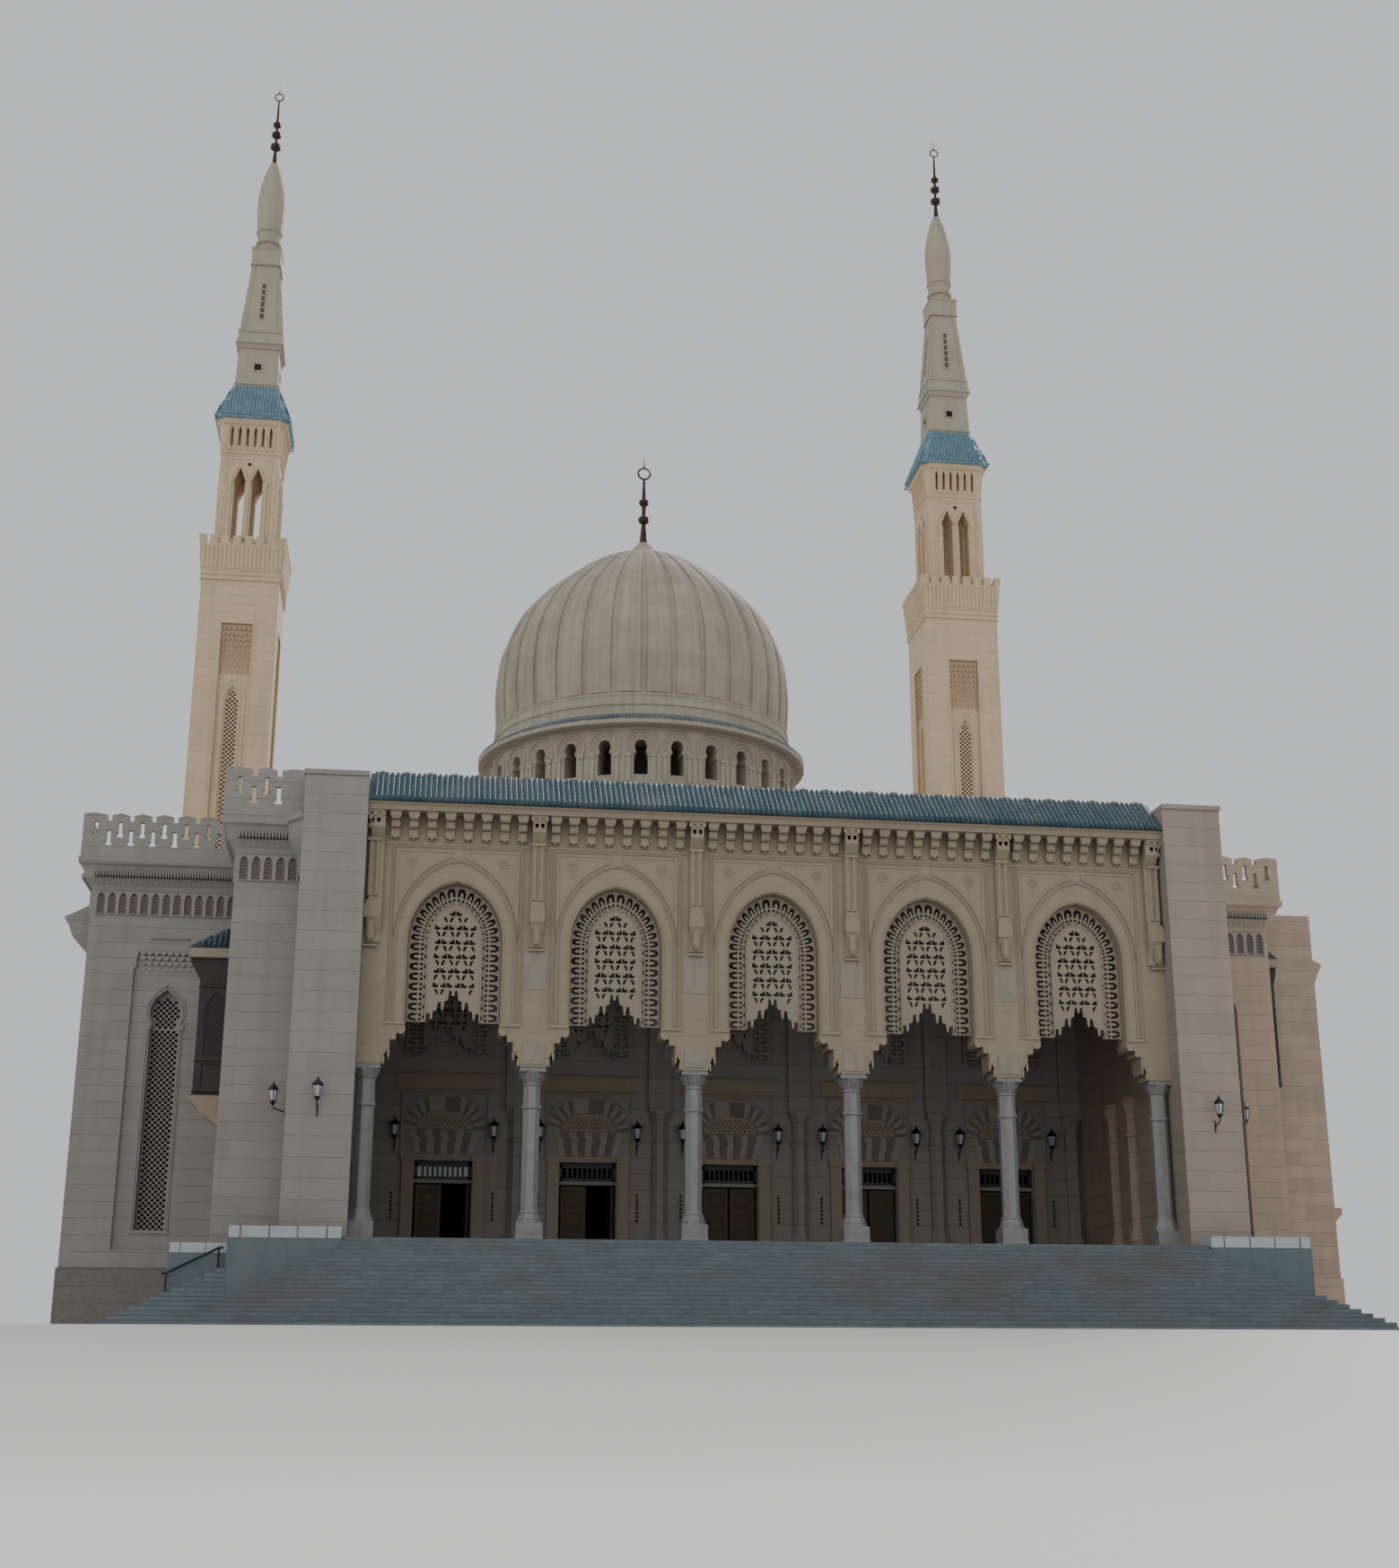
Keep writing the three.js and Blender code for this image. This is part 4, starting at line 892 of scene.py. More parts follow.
def screen_pile(plane, lift=0.0):
    """A pierced screen about x = 0: a band of radial tongues round a panel of four-petal stars."""
    pile = Pile()
    front = on_front(plane)

    def place(u, v, w):
        x, y, z = front(u, v, w)
        return x, y, z + lift

    side_cells, head_cells = 8, 8
    outer_half, inner_half = ARCH_HALF - 0.02, INNER_HALF - 0.02
    outer_path = band_path(outer_half - 0.04, SCREEN_FOOT, ARCH_RISE - 0.06, side_cells, head_cells)
    inner_path = band_path(inner_half + 0.06, SCREEN_FOOT, ARCH_RISE - 0.8, side_cells, head_cells)
    holes = []
    for i in range(len(outer_path) - 1):
        cell = band_cell(inner_path[i:i + 2], outer_path[i:i + 2])
        mirrored_leaf = [(1 - a, b) for a, b in TONGUE_LEAF]
        for shape in (TONGUE, TONGUE_EYE, TONGUE_LEAF, mirrored_leaf):
            holes.append([cell(a, b) for a, b in shape])
    rim = arched(outer_half, SCREEN_FOOT, ARCH_SPRING, ARCH_RISE - 0.02)
    opening = arched(inner_half, SCREEN_FOOT, ARCH_SPRING, ARCH_RISE - 0.84)
    ring = [rim[0], *rim[1:], opening[-1], *list(reversed(opening[:-1]))]
    pile.plate(ring, holes, place, 0.08, 0.15)

    holes = []
    pitch = real(sizes().star_pitch)
    pieces = [[(1.14 * a, 1.14 * b) for a, b in shape] for shape in (STAR_SLASH, STAR_BOOT)]
    pieces += [[(-a, b) for a, b in reversed(shape)] for shape in pieces]
    for row in range(7):
        v = 15.98 - 0.57 * row
        for column in range(-2, 3):
            u = pitch * (column + (0.0 if row % 2 else 0.5))
            for shape in pieces:
                loop = moved(shape, u, v)
                reach, over = max(abs(a) for a, b in loop), max(max(b for a, b in loop) - ARCH_SPRING, 0)
                inner = arch_width(INNER_HALF, ARCH_RISE - 0.82, over) - 0.05
                step = [b for a, b in SCREEN_EDGE if abs(a - abs(loop[0][0])) < 0.2]
                if reach < inner:
                    if min(b for a, b in loop) > max(step, default=11.86) + 0.04:
                        holes.append(loop)
    right = [*SCREEN_EDGE, (INNER_HALF, SCREEN_FOOT + 0.1),
             *arc(INNER_HALF, ARCH_SPRING, ARCH_RISE - 0.82, 12)]
    pile.plate(right + [(-u, v) for u, v in reversed(right[:-1])], holes, place, 0.16, 0.25)
    bead = rect(0.0, 0.05, 0.12, 0.28)
    path = band_path(INNER_HALF, SCREEN_FOOT + 0.05, ARCH_RISE - 0.82, 1, 12)
    pile.ribbon(path, bead, place)
    return pile


class MOSQUE_OT_screens(bpy.types.Operator):
    """Pierced marble screens that hang in the five arches"""

    bl_idname = "mosque.screens"
    bl_label = "Arch screens"

    def execute(self, context):
        pattern = screen_pile(1.6)
        for i, middle in enumerate(bays()):
            pile = Pile()
            pile.take(pattern, lambda x, y, z, m=middle: (x + m, y, z))
            piece(f"pierced_arch_screen_{i + 1}", pile, finishes["screen"],
                  replaces=[f"arch_screen_{i + 1}"])
        first = bays()[0]
        rear = screen_pile(BACK_WALL_Y - 0.12, 0.43)
        mesh = rows_of(rear, finishes["screen"], (first, 0, 0), BAYS, (BAY, 0, 0))
        piece("rear_blind_screens", mesh, finishes["screen"])
        return {"FINISHED"}


# Mouldings, panels, brackets and corbels of the arcade

def small_moulding(height=0.05, width=0.06):
    half = width / 2
    return [(-half, 0.0), (half, 0.0), (half, height * 0.6), (0.0, height), (-half, height * 0.6)]


def spandrel_outline(inset=0.0):
    """The right spandrel: over the arch ring, beside the crown and under the string moulding."""
    half, rise = 2.4 + inset, 3.3 + inset
    right, top, near = 2.42 - inset, 18.28 - inset, 0.26 + inset
    curve = [(u, v) for u, v in arc(half, ARCH_SPRING, rise, 24) if near <= u <= right]
    return [*curve, (near, curve[-1][1] + 0.1), (near, top), (right, top)]


def rosette(pile, u, v, place, radius=0.22):
    """A round flower with eight petals, and a small drop under it."""
    for k in range(8):
        a = math.tau * k / 8
        petal = []
        for along, aside in ((0.3, 0.0), (0.6, 0.22), (0.95, 0.12), (1.0, 0.0), (0.95, -0.12), (0.6, -0.22)):
            x = along * math.cos(a) - aside * math.sin(a)
            y = along * math.sin(a) + aside * math.cos(a)
            petal.append((u + radius * x, v + radius * y))
        pile.prism(petal, place, 0.0, 0.05)
    drop = [(u - 0.04, v - 0.28), (u + 0.04, v - 0.28), (u + 0.07, v - 0.38),
            (u, v - 0.52), (u - 0.07, v - 0.38)]
    pile.prism(drop, place, 0.0, 0.04)


def bay_pile():
    """Raised work of one bay about x = 0, on the face of the arcade."""
    pile = Pile()
    front = on_front(ARCADE_FRONT)
    ring_foot = 11.5
    for half, rise, size in ((2.3, 3.15, 0.08), (ARCH_HALF + 0.05, ARCH_RISE + 0.06, 0.05)):
        right = [(half, ring_foot), *arc(half, ARCH_SPRING, rise, 20)]
        path = over(right)
        pile.ribbon(path, small_moulding(size, size * 1.2), front)
    frame_path = [(-2.5, ring_foot), (-2.5, 18.38), (2.5, 18.38), (2.5, ring_foot)]
    pile.ribbon(frame_path, small_moulding(0.05, 0.07), front)
    for half in (2.44, 2.56):
        for side in (-1, 1):
            pile.ribbon([(side * half, ring_foot), (side * half, 18.3)], small_moulding(0.03, 0.04), front)
    for side in (-1, 1):
        outline = [(side * u, v) for u, v in spandrel_outline()]
        field = [(side * u, v) for u, v in spandrel_outline(0.09)]
        pile.plate(outline, [field], front, 0.0, 0.05)
        pile.prism(field, front, -0.01, 0.02)
        rosette(pile, side * 1.78, 17.78, front)
        scroll = [(side * 1.25, 17.95), (side * 1.1, 18.08), (side * 0.9, 18.05), (side * 0.75, 18.12)]
        pile.ribbon(scroll, small_moulding(0.03, 0.05), front)
    return pile


def cornice_pile():
    """Level mouldings from end to end of the arcade: string, frieze line and fascia under the tiles."""
    pile = Pile()
    front = on_front(ARCADE_FRONT)
    end = PORCH_HALF - 0.01
    pile.box(-end, end, ARCADE_FRONT - 0.07, ARCADE_FRONT + 0.02, 18.47, 18.53)
    pile.box(-end, end, ARCADE_FRONT - 0.04, ARCADE_FRONT + 0.02, 18.42, 18.47)
    pile.box(-end, end, 0.21, 0.27, 19.66, 19.72)
    pile.box(-end, end, 0.2, 0.27, 19.9, 19.99)
    for line in pillars()[1:-1]:
        pile.ribbon([(line - 0.52, 11.45), (line - 0.52, 18.4)], small_moulding(0.03, 0.05), front)
        pile.ribbon([(line + 0.52, 11.45), (line + 0.52, 18.4)], small_moulding(0.03, 0.05), front)
    return pile


def corbel_pile():
    """One hanging bracket of three blocks: a flared head, a square block and a notched foot."""
    pile = Pile()
    rings = []
    for half, y0, z in ((0.165, 0.36, 19.37), (0.215, 0.31, 19.5), (0.215, 0.31, 19.64)):
        rings.append([(-half, y0, z), (half, y0, z), (half, 0.5, z), (-half, 0.5, z)])
    pile.skin(rings)
    pile.box(-0.165, 0.165, 0.54, 0.72, 19.08, 19.32)
    pile.box(-0.1, 0.1, 0.52, 0.56, 19.13, 19.27)
    foot = [(-0.165, 19.02), (-0.165, 18.66), (-0.1, 18.72), (0.0, 18.62), (0.1, 18.72), (0.165, 18.66),
            (0.165, 19.02)]
    pile.prism(foot, on_front(0.98), 0.0, 0.24)
    return pile


def pier_pile():
    """Raised work at one column line: a pair of colonnettes with their block, hanging leaf and head."""
    pile = Pile()
    for u in (-0.13, 0.13):
        pile.lathe([(0.085, 16.3), (0.085, 18.55)], 10, u, 0.72)
    for z0, z1, half, y in ((15.42, 15.95, 0.29, 0.56), (15.95, 16.1, 0.24, 0.58), (18.5, 18.62, 0.27, 0.6)):
        pile.box(-half, half, y, 0.9, z0, z1)
    leaf = [(-0.2, 15.4), (-0.14, 15.05), (-0.16, 14.85), (-0.08, 14.55), (0.08, 14.55), (0.16, 14.85),
            (0.14, 15.05), (0.2, 15.4)]
    pile.prism(leaf, on_front(0.95), 0.1, 0.3)
    inner_leaf = [(u * 0.55, 14.98 + (v - 14.98) * 0.8) for u, v in leaf]
    pile.prism(inner_leaf, on_front(0.95), 0.28, 0.35)
    pile.box(-0.29, 0.29, 0.8, 0.96, 14.33, 14.42)
    # head of the colonnettes: three tiers of small hanging arches
    for tier, (z0, z1, half, y) in enumerate(((18.98, 19.25, 0.22, 0.44), (19.2, 19.5, 0.26, 0.36),
                                              (19.46, 19.7, 0.3, 0.29))):
        pile.box(-half, half, y, 0.6, z0 + 0.1, z1)
        for k in range(3 - tier % 2):
            u = (k - (2 - tier % 2) / 2) * half * 0.9
            drop = [(u - 0.07, z0 + 0.14), (u + 0.07, z0 + 0.14), (u + 0.07, z0 + 0.02), (u, z0 - 0.06),
                    (u - 0.07, z0 + 0.02)]
            pile.prism(drop, on_front(y + 0.06), 0.0, 0.07)
    return pile


def bracket_pile(side):
    """Scrolls and hanging points that carry the arch out from one column, to one side of its line."""
    pile = Pile()
    front = on_front(ARCADE_FRONT)
    for u, v, r in ((1.2, 11.14, 0.15), (0.93, 10.86, 0.1), (0.7, 10.5, 0.1)):
        circle = [(side * a, b) for a, b in disc(u, v, r)]
        pile.prism(circle, front, -1.05, 0.03)
    for u, v in ((0.76, 10.28), (0.58, 10.02)):
        drop = [(side * (u - 0.05), v + 0.1), (side * (u + 0.05), v + 0.1), (side * (u + 0.03), v - 0.16),
                (side * u, v - 0.22), (side * (u - 0.03), v - 0.16)]
        pile.prism(drop, front, -1.0, 0.02)
    level = sorted((side * 0.5, side * 1.34))
    pile.prism([(level[0], 11.36), (level[1], 11.36), (level[1], 11.48), (level[0], 11.48)], front, 0.0, 0.06)
    edge = [(side * u, v) for u, v in (
        (0.55, 10.15), (0.72, 10.45), (0.74, 10.75), (0.94, 10.85), (1.2, 11.32))]
    pile.ribbon(edge, small_moulding(0.04, 0.06), front)
    return pile


class MOSQUE_OT_arcade(bpy.types.Operator):
    """Mouldings, spandrels, colonnettes, brackets and corbels on the arcade"""

    bl_idname = "mosque.arcade"
    bl_label = "Arcade carving"

    def execute(self, context):
        stone = finishes["carving"]
        first = bays()[0]
        piece("arch_mouldings", rows_of(bay_pile(), stone, (first, 0, 0), BAYS, (BAY, 0, 0)),
              stone)
        piece("arcade_string_mouldings", cornice_pile(), stone)
        step = (BAY - 0.6) / 8
        start = -BAYS / 2 * BAY + 0.3 + step / 2
        corbels = rows_of(corbel_pile(), stone, (start, 0, 0), 8, (step, 0, 0), BAYS, (BAY, 0, 0))
        piece("cornice_corbels", corbels, stone)
        lines = pillars()
        inner = rows_of(pier_pile(), stone, (lines[1], 0, 0), BAYS - 1, (BAY, 0, 0))
        ends = rows_of(pier_pile(), stone, (-PORCH_HALF + 0.3, 0, 0), 2, (2 * PORCH_HALF - 0.6, 0, 0))
        piece("colonnettes", joined("colonnettes", [inner, ends]), stone)
        right = rows_of(bracket_pile(1), stone, (lines[0], 0, 0), BAYS, (BAY, 0, 0))
        left = rows_of(bracket_pile(-1), stone, (lines[1], 0, 0), BAYS, (BAY, 0, 0))
        piece("arch_brackets", joined("arch_brackets", [right, left]), stone)
        panels = Pile()
        for line in lines[1:-1]:
            panels.box(line - 0.46, line + 0.46, ARCADE_FRONT - 0.02, ARCADE_FRONT + 0.02, 12.85, 14.3)
            panels.box(line - 0.42, line + 0.42, ARCADE_FRONT - 0.035, ARCADE_FRONT, 9.95, 10.75)
        piece("pier_panels", panels, finishes["panel"])
        return {"FINISHED"}


# Tiles

def barrel_tile(radius, run, start, rise_per_run, sides=8):
    """A half-round tile that lies up a slope from start (y, z)."""
    pile = Pile()
    rings = []
    for t in (0.0, 1.0):
        y, z = start[0] + run * t, start[1] + run * t * rise_per_run
        r = radius * (1.06 - 0.12 * t)
        ring = []
        for k in range(sides + 1):
            a = math.pi * k / sides
            ring.append((r * math.cos(a), y, z + r * math.sin(a) * 0.9))
        rings.append(ring)
    pile.skin(rings)
    return pile


class MOSQUE_OT_porch_tiles(bpy.types.Operator):
    """Rows of half-round glazed tiles on the porch roof, with round ends along the eave"""

    bl_idname = "mosque.porch_tiles"
    bl_label = "Porch roof tiles"

    def execute(self, context):
        pitch = real(sizes().tile_pitch)
        rows = sizes().tile_rows
        count = int((2 * PORCH_HALF - 0.1) / pitch)
        start = -(count - 1) / 2 * pitch
        slope = 1.38 / 1.5
        run = 1.5 / rows
        tile = barrel_tile(pitch * 0.42, run * 1.15, (0.08, 20.12), slope)
        tiles = rows_of(tile, finishes["tile"], (start, 0, 0), count, (pitch, 0, 0),
                        rows, (0, run * 0.985, run * slope * 0.985), smooth=50)
        end = Pile()
        end.rod([(0, 0.0, 20.1), (0, 0.1, 20.13)], pitch * 0.44, 10)
        ends = rows_of(end, finishes["tile"], (start, 0, 0), count, (pitch, 0, 0), smooth=50)
        piece("porch_roof_tiles", joined("porch_roof_tiles", [tiles, ends]), finishes["tile"])
        return {"FINISHED"}


# Back wall of the porch: doorways, lintels, pierced heads, frieze and lanterns

def wedge_stones(inner, outer, spring, rise_in, rise_out, count, odd, place, depth):
    """Every second stone of an arch of wedge stones about u = 0."""
    pile = Pile()
    inner_right = arc(inner, spring, rise_in, count)
    outer_right = arc(outer, spring, rise_out, count)
    inner_path = over(inner_right)
    outer_path = over(outer_right)
    for i in range(0 if odd else 1, len(inner_path) - 1, 2):
        outline = [inner_path[i], inner_path[i + 1], outer_path[i + 1], outer_path[i]]
        pile.prism(outline, place, 0.0, depth)
    return pile


def lintel_stones(odd, place, depth):
    """Every second stone of a flat lintel, each with a stepped side that locks into the next."""
    pile = Pile()
    count = 9
    width = 2.5 / count
    for i in range(0 if odd else 1, count, 2):
        u0 = -1.25 + width * i
        lean = (i - (count - 1) / 2) * 0.03
        key = 0.05
        outline = [(u0, 7.72), (u0 + width, 7.72), (u0 + width + lean, 8.2), (u0 + width + lean + key, 8.25),
                   (u0 + width + lean + key, 8.45), (u0 + width + 2 * lean, 8.5),
                   (u0 + width + 2 * lean, 8.76),
                   (u0 + 2 * lean, 8.76), (u0 + 2 * lean, 8.5),
                   (u0 + lean + key, 8.45), (u0 + lean + key, 8.25),
                   (u0 + lean, 8.2)]
        pile.prism(outline, place, 0.0, depth)
    return pile


def grid_holes(half, foot, top, pitch, radius, inside, sides=6):
    """Small round openings in staggered rows, where inside(u, v) allows them."""
    holes = []
    rows = int((top - foot) / (pitch * 0.5))
    for row in range(rows):
        v = foot + pitch * 0.5 * (row + 0.5)
        count = int(2 * half / pitch) + 2
        for column in range(-count, count + 1):
            u = pitch * (column + (0.5 if row % 2 else 0.0))
            if inside(u, v):
                holes.append([
                    (u + radius * math.cos(math.tau * k / sides), v + radius * math.sin(math.tau * k / sides))
                    for k in range(sides)
                ])
    return holes


def portal_pile():
    """Plain stone of one doorway about x = 0: side piers, caps, frames, pierced head and frieze."""
    pile = Pile()
    front = on_front(BACK_WALL_Y)
    for u0, u1 in ((-1.76, -1.26), (1.28, 1.78)):
        pile.box(u0, u1, BACK_WALL_Y - 0.16, BACK_WALL_Y + 0.01, FLOOR + 0.003, 7.41)
        pile.box(u0 - 0.06, u1 + 0.06, BACK_WALL_Y - 0.22, BACK_WALL_Y + 0.01, 7.41, 7.7)
        pile.box(u0 - 0.04, u1 + 0.04, BACK_WALL_Y - 0.2, BACK_WALL_Y + 0.01, FLOOR + 0.003, FLOOR + 0.4)
    pile.box(-1.24, 1.24, BACK_WALL_Y - 0.1, BACK_WALL_Y + 0.01, 7.46, 7.7)
    frame_path = [(-1.86, 7.75), (-1.86, 10.42), (1.86, 10.42), (1.86, 7.75)]
    pile.ribbon(frame_path, small_moulding(0.07, 0.1), front)

    def in_head(u, v):
        return (u / 1.08) ** 2 + ((v - 8.8) / 0.66) ** 2 < 1 and v > 8.86

    head = [(1.2, 8.8), *[(1.2 * math.cos(math.pi * k / 16), 8.8 + 0.76 * math.sin(math.pi * k / 16))
                          for k in range(1, 16)], (-1.2, 8.8)]
    pile.plate(head, grid_holes(1.1, 8.86, 9.6, 0.22, 0.05, in_head), front, 0.04, 0.12)
    pile.ribbon([(-1.32, 8.78), (1.32, 8.78)], small_moulding(0.06, 0.06), front)
    outer = [(u, v) for u, v in arc(1.95, 8.8, 1.55, 14)]
    path = over(outer)
    pile.ribbon([(max(min(u, 1.8), -1.8), v) for u, v in path], small_moulding(0.05, 0.06), front)
    # bare band over the doorway between two mouldings
    for v in (10.5, 11.24):
        pile.ribbon([(-2.2, v), (2.2, v)], small_moulding(0.08, 0.08), front)
    pile.box(-2.15, 2.15, BACK_WALL_Y - 0.04, BACK_WALL_Y + 0.01, 10.56, 11.18)
    for k in range(12):
        u = -1.98 + 0.36 * k
        pile.prism([(u - 0.12, 10.62), (u + 0.12, 10.62), (u + 0.12, 10.95), (u, 11.12), (u - 0.12, 10.95)],
                   front, 0.03, 0.07)
    return pile


def transom_pile():
    """Timber frame with upright bars over the leaves of one doorway."""
    pile = Pile()
    y0, y1 = 12.72, 12.86
    pile.box(-DOOR_HALF, DOOR_HALF, y0, y1, 7.22, DOOR_HEAD - 0.005)
    pile.box(-DOOR_HALF, DOOR_HALF, y0, y1, 6.68, 6.8)
    for side in (-1, 1):
        low, high = sorted((side * DOOR_HALF, side * (DOOR_HALF - 0.13)))
        pile.box(low, high, y0, y1, 6.68, 7.4)
    for k in range(1, 10):
        u = -1.08 + 2.16 * k / 10
        pile.box(u - 0.045, u + 0.045, y0 + 0.02, y1 - 0.02, 6.75, 7.25)
    return pile


def lantern_piles(iron, glass, place, size=1.0, arm=0.55):
    """A six-sided wall lantern on a bracket. Place takes (across, out of the wall, up) in metres."""
    def put(pile, profile, sides=6, out=arm):
        rings = []
        for r, z in profile:
            rings.append([place(r * size * math.cos(math.tau * k / sides),
                                out + r * size * math.sin(math.tau * k / sides), z * size)
                          for k in range(sides)])
        pile.skin(rings)

    put(glass, [(0.13, -0.3), (0.22, 0.18)])
    put(iron, [(0.05, -0.52), (0.15, -0.34), (0.15, -0.3)])
    put(iron, [(0.24, 0.18), (0.27, 0.22), (0.2, 0.34), (0.07, 0.44), (0.05, 0.52), (0.02, 0.62)])
    for k in range(6):
        a = math.tau * k / 6
        path = [place(r * size * math.cos(a), arm + r * size * math.sin(a), z * size)
                for r, z in ((0.14, -0.31), (0.23, 0.19))]
        iron.rod(path, 0.016 * size, 4)
    scroll = [(0.02, -0.95), (0.12, -0.8), (0.35, -0.72), (arm, -0.62), (arm, -0.5)]
    iron.rod([place(0, out, z * size) for out, z in scroll], 0.035 * size, 6)
    iron.rod([place(0, out, z * size) for out, z in ((0.02, -1.15), (0.02, -0.55))], 0.03 * size, 6)


class MOSQUE_OT_doorways(bpy.types.Operator):
    """Doorways at the back of the porch, with lintels, pierced heads, light bars and small lanterns"""

    bl_idname = "mosque.doorways"
    bl_label = "Porch doorways"

    def execute(self, context):
        first = bays()[0]
        stone = finishes["carving"]
        place = on_front(BACK_WALL_Y)

        def at_each_bay(pattern, finish):
            return rows_of(pattern, finish, (first, 0, 0), BAYS, (BAY, 0, 0))

        piece("doorway_surrounds", at_each_bay(portal_pile(), stone), stone)
        for tone, odd in (("light stone", True), ("dark stone", False)):
            arch = wedge_stones(1.24, 1.8, 8.8, 0.8, 1.42, 9, odd, place, 0.06)
            lintel = lintel_stones(odd, place, 0.05)
            arch.take(lintel)
            name = "lintel_" + tone.replace(" ", "_")
            piece(name, at_each_bay(arch, finishes[tone]), finishes[tone])
        piece("transom_bars", at_each_bay(transom_pile(), finishes["timber"]),
              finishes["timber"])
        # painted shadow: thin near-black boxes on the wall for the dark inside small slits
        slots = Pile()
        for line in bays():
            for side in (-1, 1):
                for k in range(7):
                    v = 4.94 + 0.175 * k
                    u = line + side * 2.17
                    slots.box(u - 0.05, u + 0.05, BACK_WALL_Y - 0.012, BACK_WALL_Y + 0.01, v, v + 0.11)
        piece("wall_slots", slots, finishes["shadow"])
        iron, glass = Pile(), Pile()
        # glass behind the first doorway's transom bars only, painted pale for the light that shines through it
        # from inside
        glass.box(first - 1.08, first + 1.08, 12.8, 12.83, 6.8, 7.22)
        for line in bays():
            for side in (-1, 1):
                x = line + side * 2.13
                lantern_piles(iron, glass, lambda a, out, z, x=x: (x + a, BACK_WALL_Y - out, z + 8.75),
                              0.85, arm=0.35)
        piece("porch_lantern_frames", iron, finishes["iron"])
        piece("porch_lantern_panes", glass, finishes["glass"])
        return {"FINISHED"}


def leaf_relief(half_width, foot, top):
    """Raised work of one door leaf about u = 0: border, three framed panels and a star in each."""
    pile = Pile()

    def place(u, v, w):
        return u, -w, v

    border = rect(-half_width, half_width, foot, top)
    panels = []
    for v0, v1 in ((foot + 0.12, foot + 0.95), (foot + 1.07, foot + 2.0), (foot + 2.12, top - 0.12)):
        u = half_width - 0.1
        panels.append(rect(-u, u, v0, v1))
    pile.plate(border, panels, place, 0.0, 0.02)
    for panel in panels:
        middle = (panel[0][1] + panel[2][1]) / 2
        star = []
        for k in range(16):
            r = 0.26 if k % 2 == 0 else 0.15
            star.append((r * math.cos(math.tau * k / 16), middle + r * math.sin(math.tau * k / 16)))
        pile.prism(star, place, 0.0, 0.02)
    return pile


class MOSQUE_OT_door_leaves(bpy.types.Operator):
    """Raised metal work on the ten door leaves"""

    bl_idname = "mosque.door_leaves"
    bl_label = "Door leaves"

    def execute(self, context):
        open_now = {"door_1_right_leaf": 86, "door_2_right_leaf": 86}
        half = (DOOR_HALF - 0.08 - 0.035) / 2
        relief = leaf_relief(half - 0.03, FLOOR + 0.12, 6.4)
        for i, middle in enumerate(bays()):
            for side, word in ((-1, "left"), (1, "right")):
                name = f"door_{i + 1}_{word}_leaf"
                hinge_x = middle + side * (DOOR_HALF - 0.08 - 0.05)
                angle = math.radians(-side * open_now.get(name, 0))
                turn = turned_about(hinge_x, 12.85, angle)
                pile = Pile()
                for face in (-1, 1):
                    pile.take(relief, lambda u, w, v, f=face: turn(
                        side * (0.05 - half) + u, f * (0.05 - w), v))
                piece(f"door_{i + 1}_{word}_relief", pile, finishes["door trim"], body=name)
        return {"FINISHED"}


# Corner blocks, wings and hall: friezes, dentils, window lattices

def frieze_pile():
    """One small arch of the frieze about u = 0, v = 0 at its foot, filled with a fine lattice."""
    pile = Pile()
    half, top = 0.235, 1.02
    place = on_front(0.0)
    opening = arched(0.16, 0.04, 0.68, 0.3, 5)
    pile.plate(rect(-half, half, 0, top), [opening], place, 0.0, 0.08)
    for k in range(6):
        v = 0.1 + 0.14 * k
        for lean in (-0.07, 0.07):
            bar = [(-0.18, v - lean - 0.01), (0.18, v + lean - 0.01),
                   (0.18, v + lean + 0.01), (-0.18, v - lean + 0.01)]
            pile.prism(bar, place, 0.0, 0.03)
    return pile


def drop_pile():
    """One small pointed drop about u = 0, hanging from the moulding."""
    pile = Pile()
    pile.prism([(-0.035, 0.24), (-0.035, 0.08), (0.0, -0.02), (0.035, 0.08), (0.035, 0.24)],
               on_front(0.0), 0.3, 0.52)
    return pile


def neck_block_pile():
    """One block in the hollow below the drops, its face leaning outwards."""
    pile = Pile()
    pile.skin([[(-0.07, 0.0, z), (0.07, 0.0, z), (0.07, y, z), (-0.07, y, z)]
               for z, y in ((-0.34, -0.12), (-0.12, -0.3))])
    return pile


def turned_pile(pile, angle):
    """A copy of a pile turned about the upright axis at the origin."""
    made = Pile()
    made.take(pile, turned_about(0, 0, angle))
    return made


class Run:
    """A straight run of wall for rows of ornament: from a first point, along a way, facing outwards."""

    def __init__(self, x, y, way, turn, span, top):
        self.x, self.y, self.way, self.turn, self.span, self.top = x, y, way, turn, span, top

    def rows(self, pattern, finish, pitch, z, margin=0.2):
        count = max(int((self.span - 2 * margin) / pitch), 1)
        first = (self.span - (count - 1) * pitch) / 2
        start = (self.x + self.way[0] * first, self.y + self.way[1] * first, z)
        step = (self.way[0] * pitch, self.way[1] * pitch, 0)
        return rows_of(turned_pile(pattern, self.turn), finish, start, count, step)


def ornament_runs():
    """Runs of wall under the flared cornices of the blocks, the left wing, the hall's sides and its back."""
    quarter = math.pi / 2
    block_back = BACK_WALL_Y - 0.1
    runs = []
    for side, near, out, front in ((-1, PYLON_OUT + 0.1, BLOCK_OUT, BLOCK_FRONT),
                                   (1, 22.0, RIGHT_BLOCK_OUT, RIGHT_BLOCK_FRONT)):
        x0, x1 = sorted((side * near, side * out))
        runs.append(Run(x0, front, (1, 0), 0.0, x1 - x0, BLOCK_TOP))
        runs.append(Run(side * out, front, (0, 1), side * quarter, block_back - front, BLOCK_TOP))
        hall_from = WING_FRONT if side < 0 else 26.0
        runs.append(Run(
            side * WING_OUT, hall_from, (0, 1), side * quarter, HALL_BACK - hall_from, WING_TOP))
    runs.append(Run(-WING_OUT, WING_FRONT, (1, 0), 0.0, WING_OUT - BLOCK_OUT - 0.7, WING_TOP))
    runs.append(Run(-26.3, HALL_BACK, (1, 0), math.pi, 52.6, WING_TOP))
    return runs


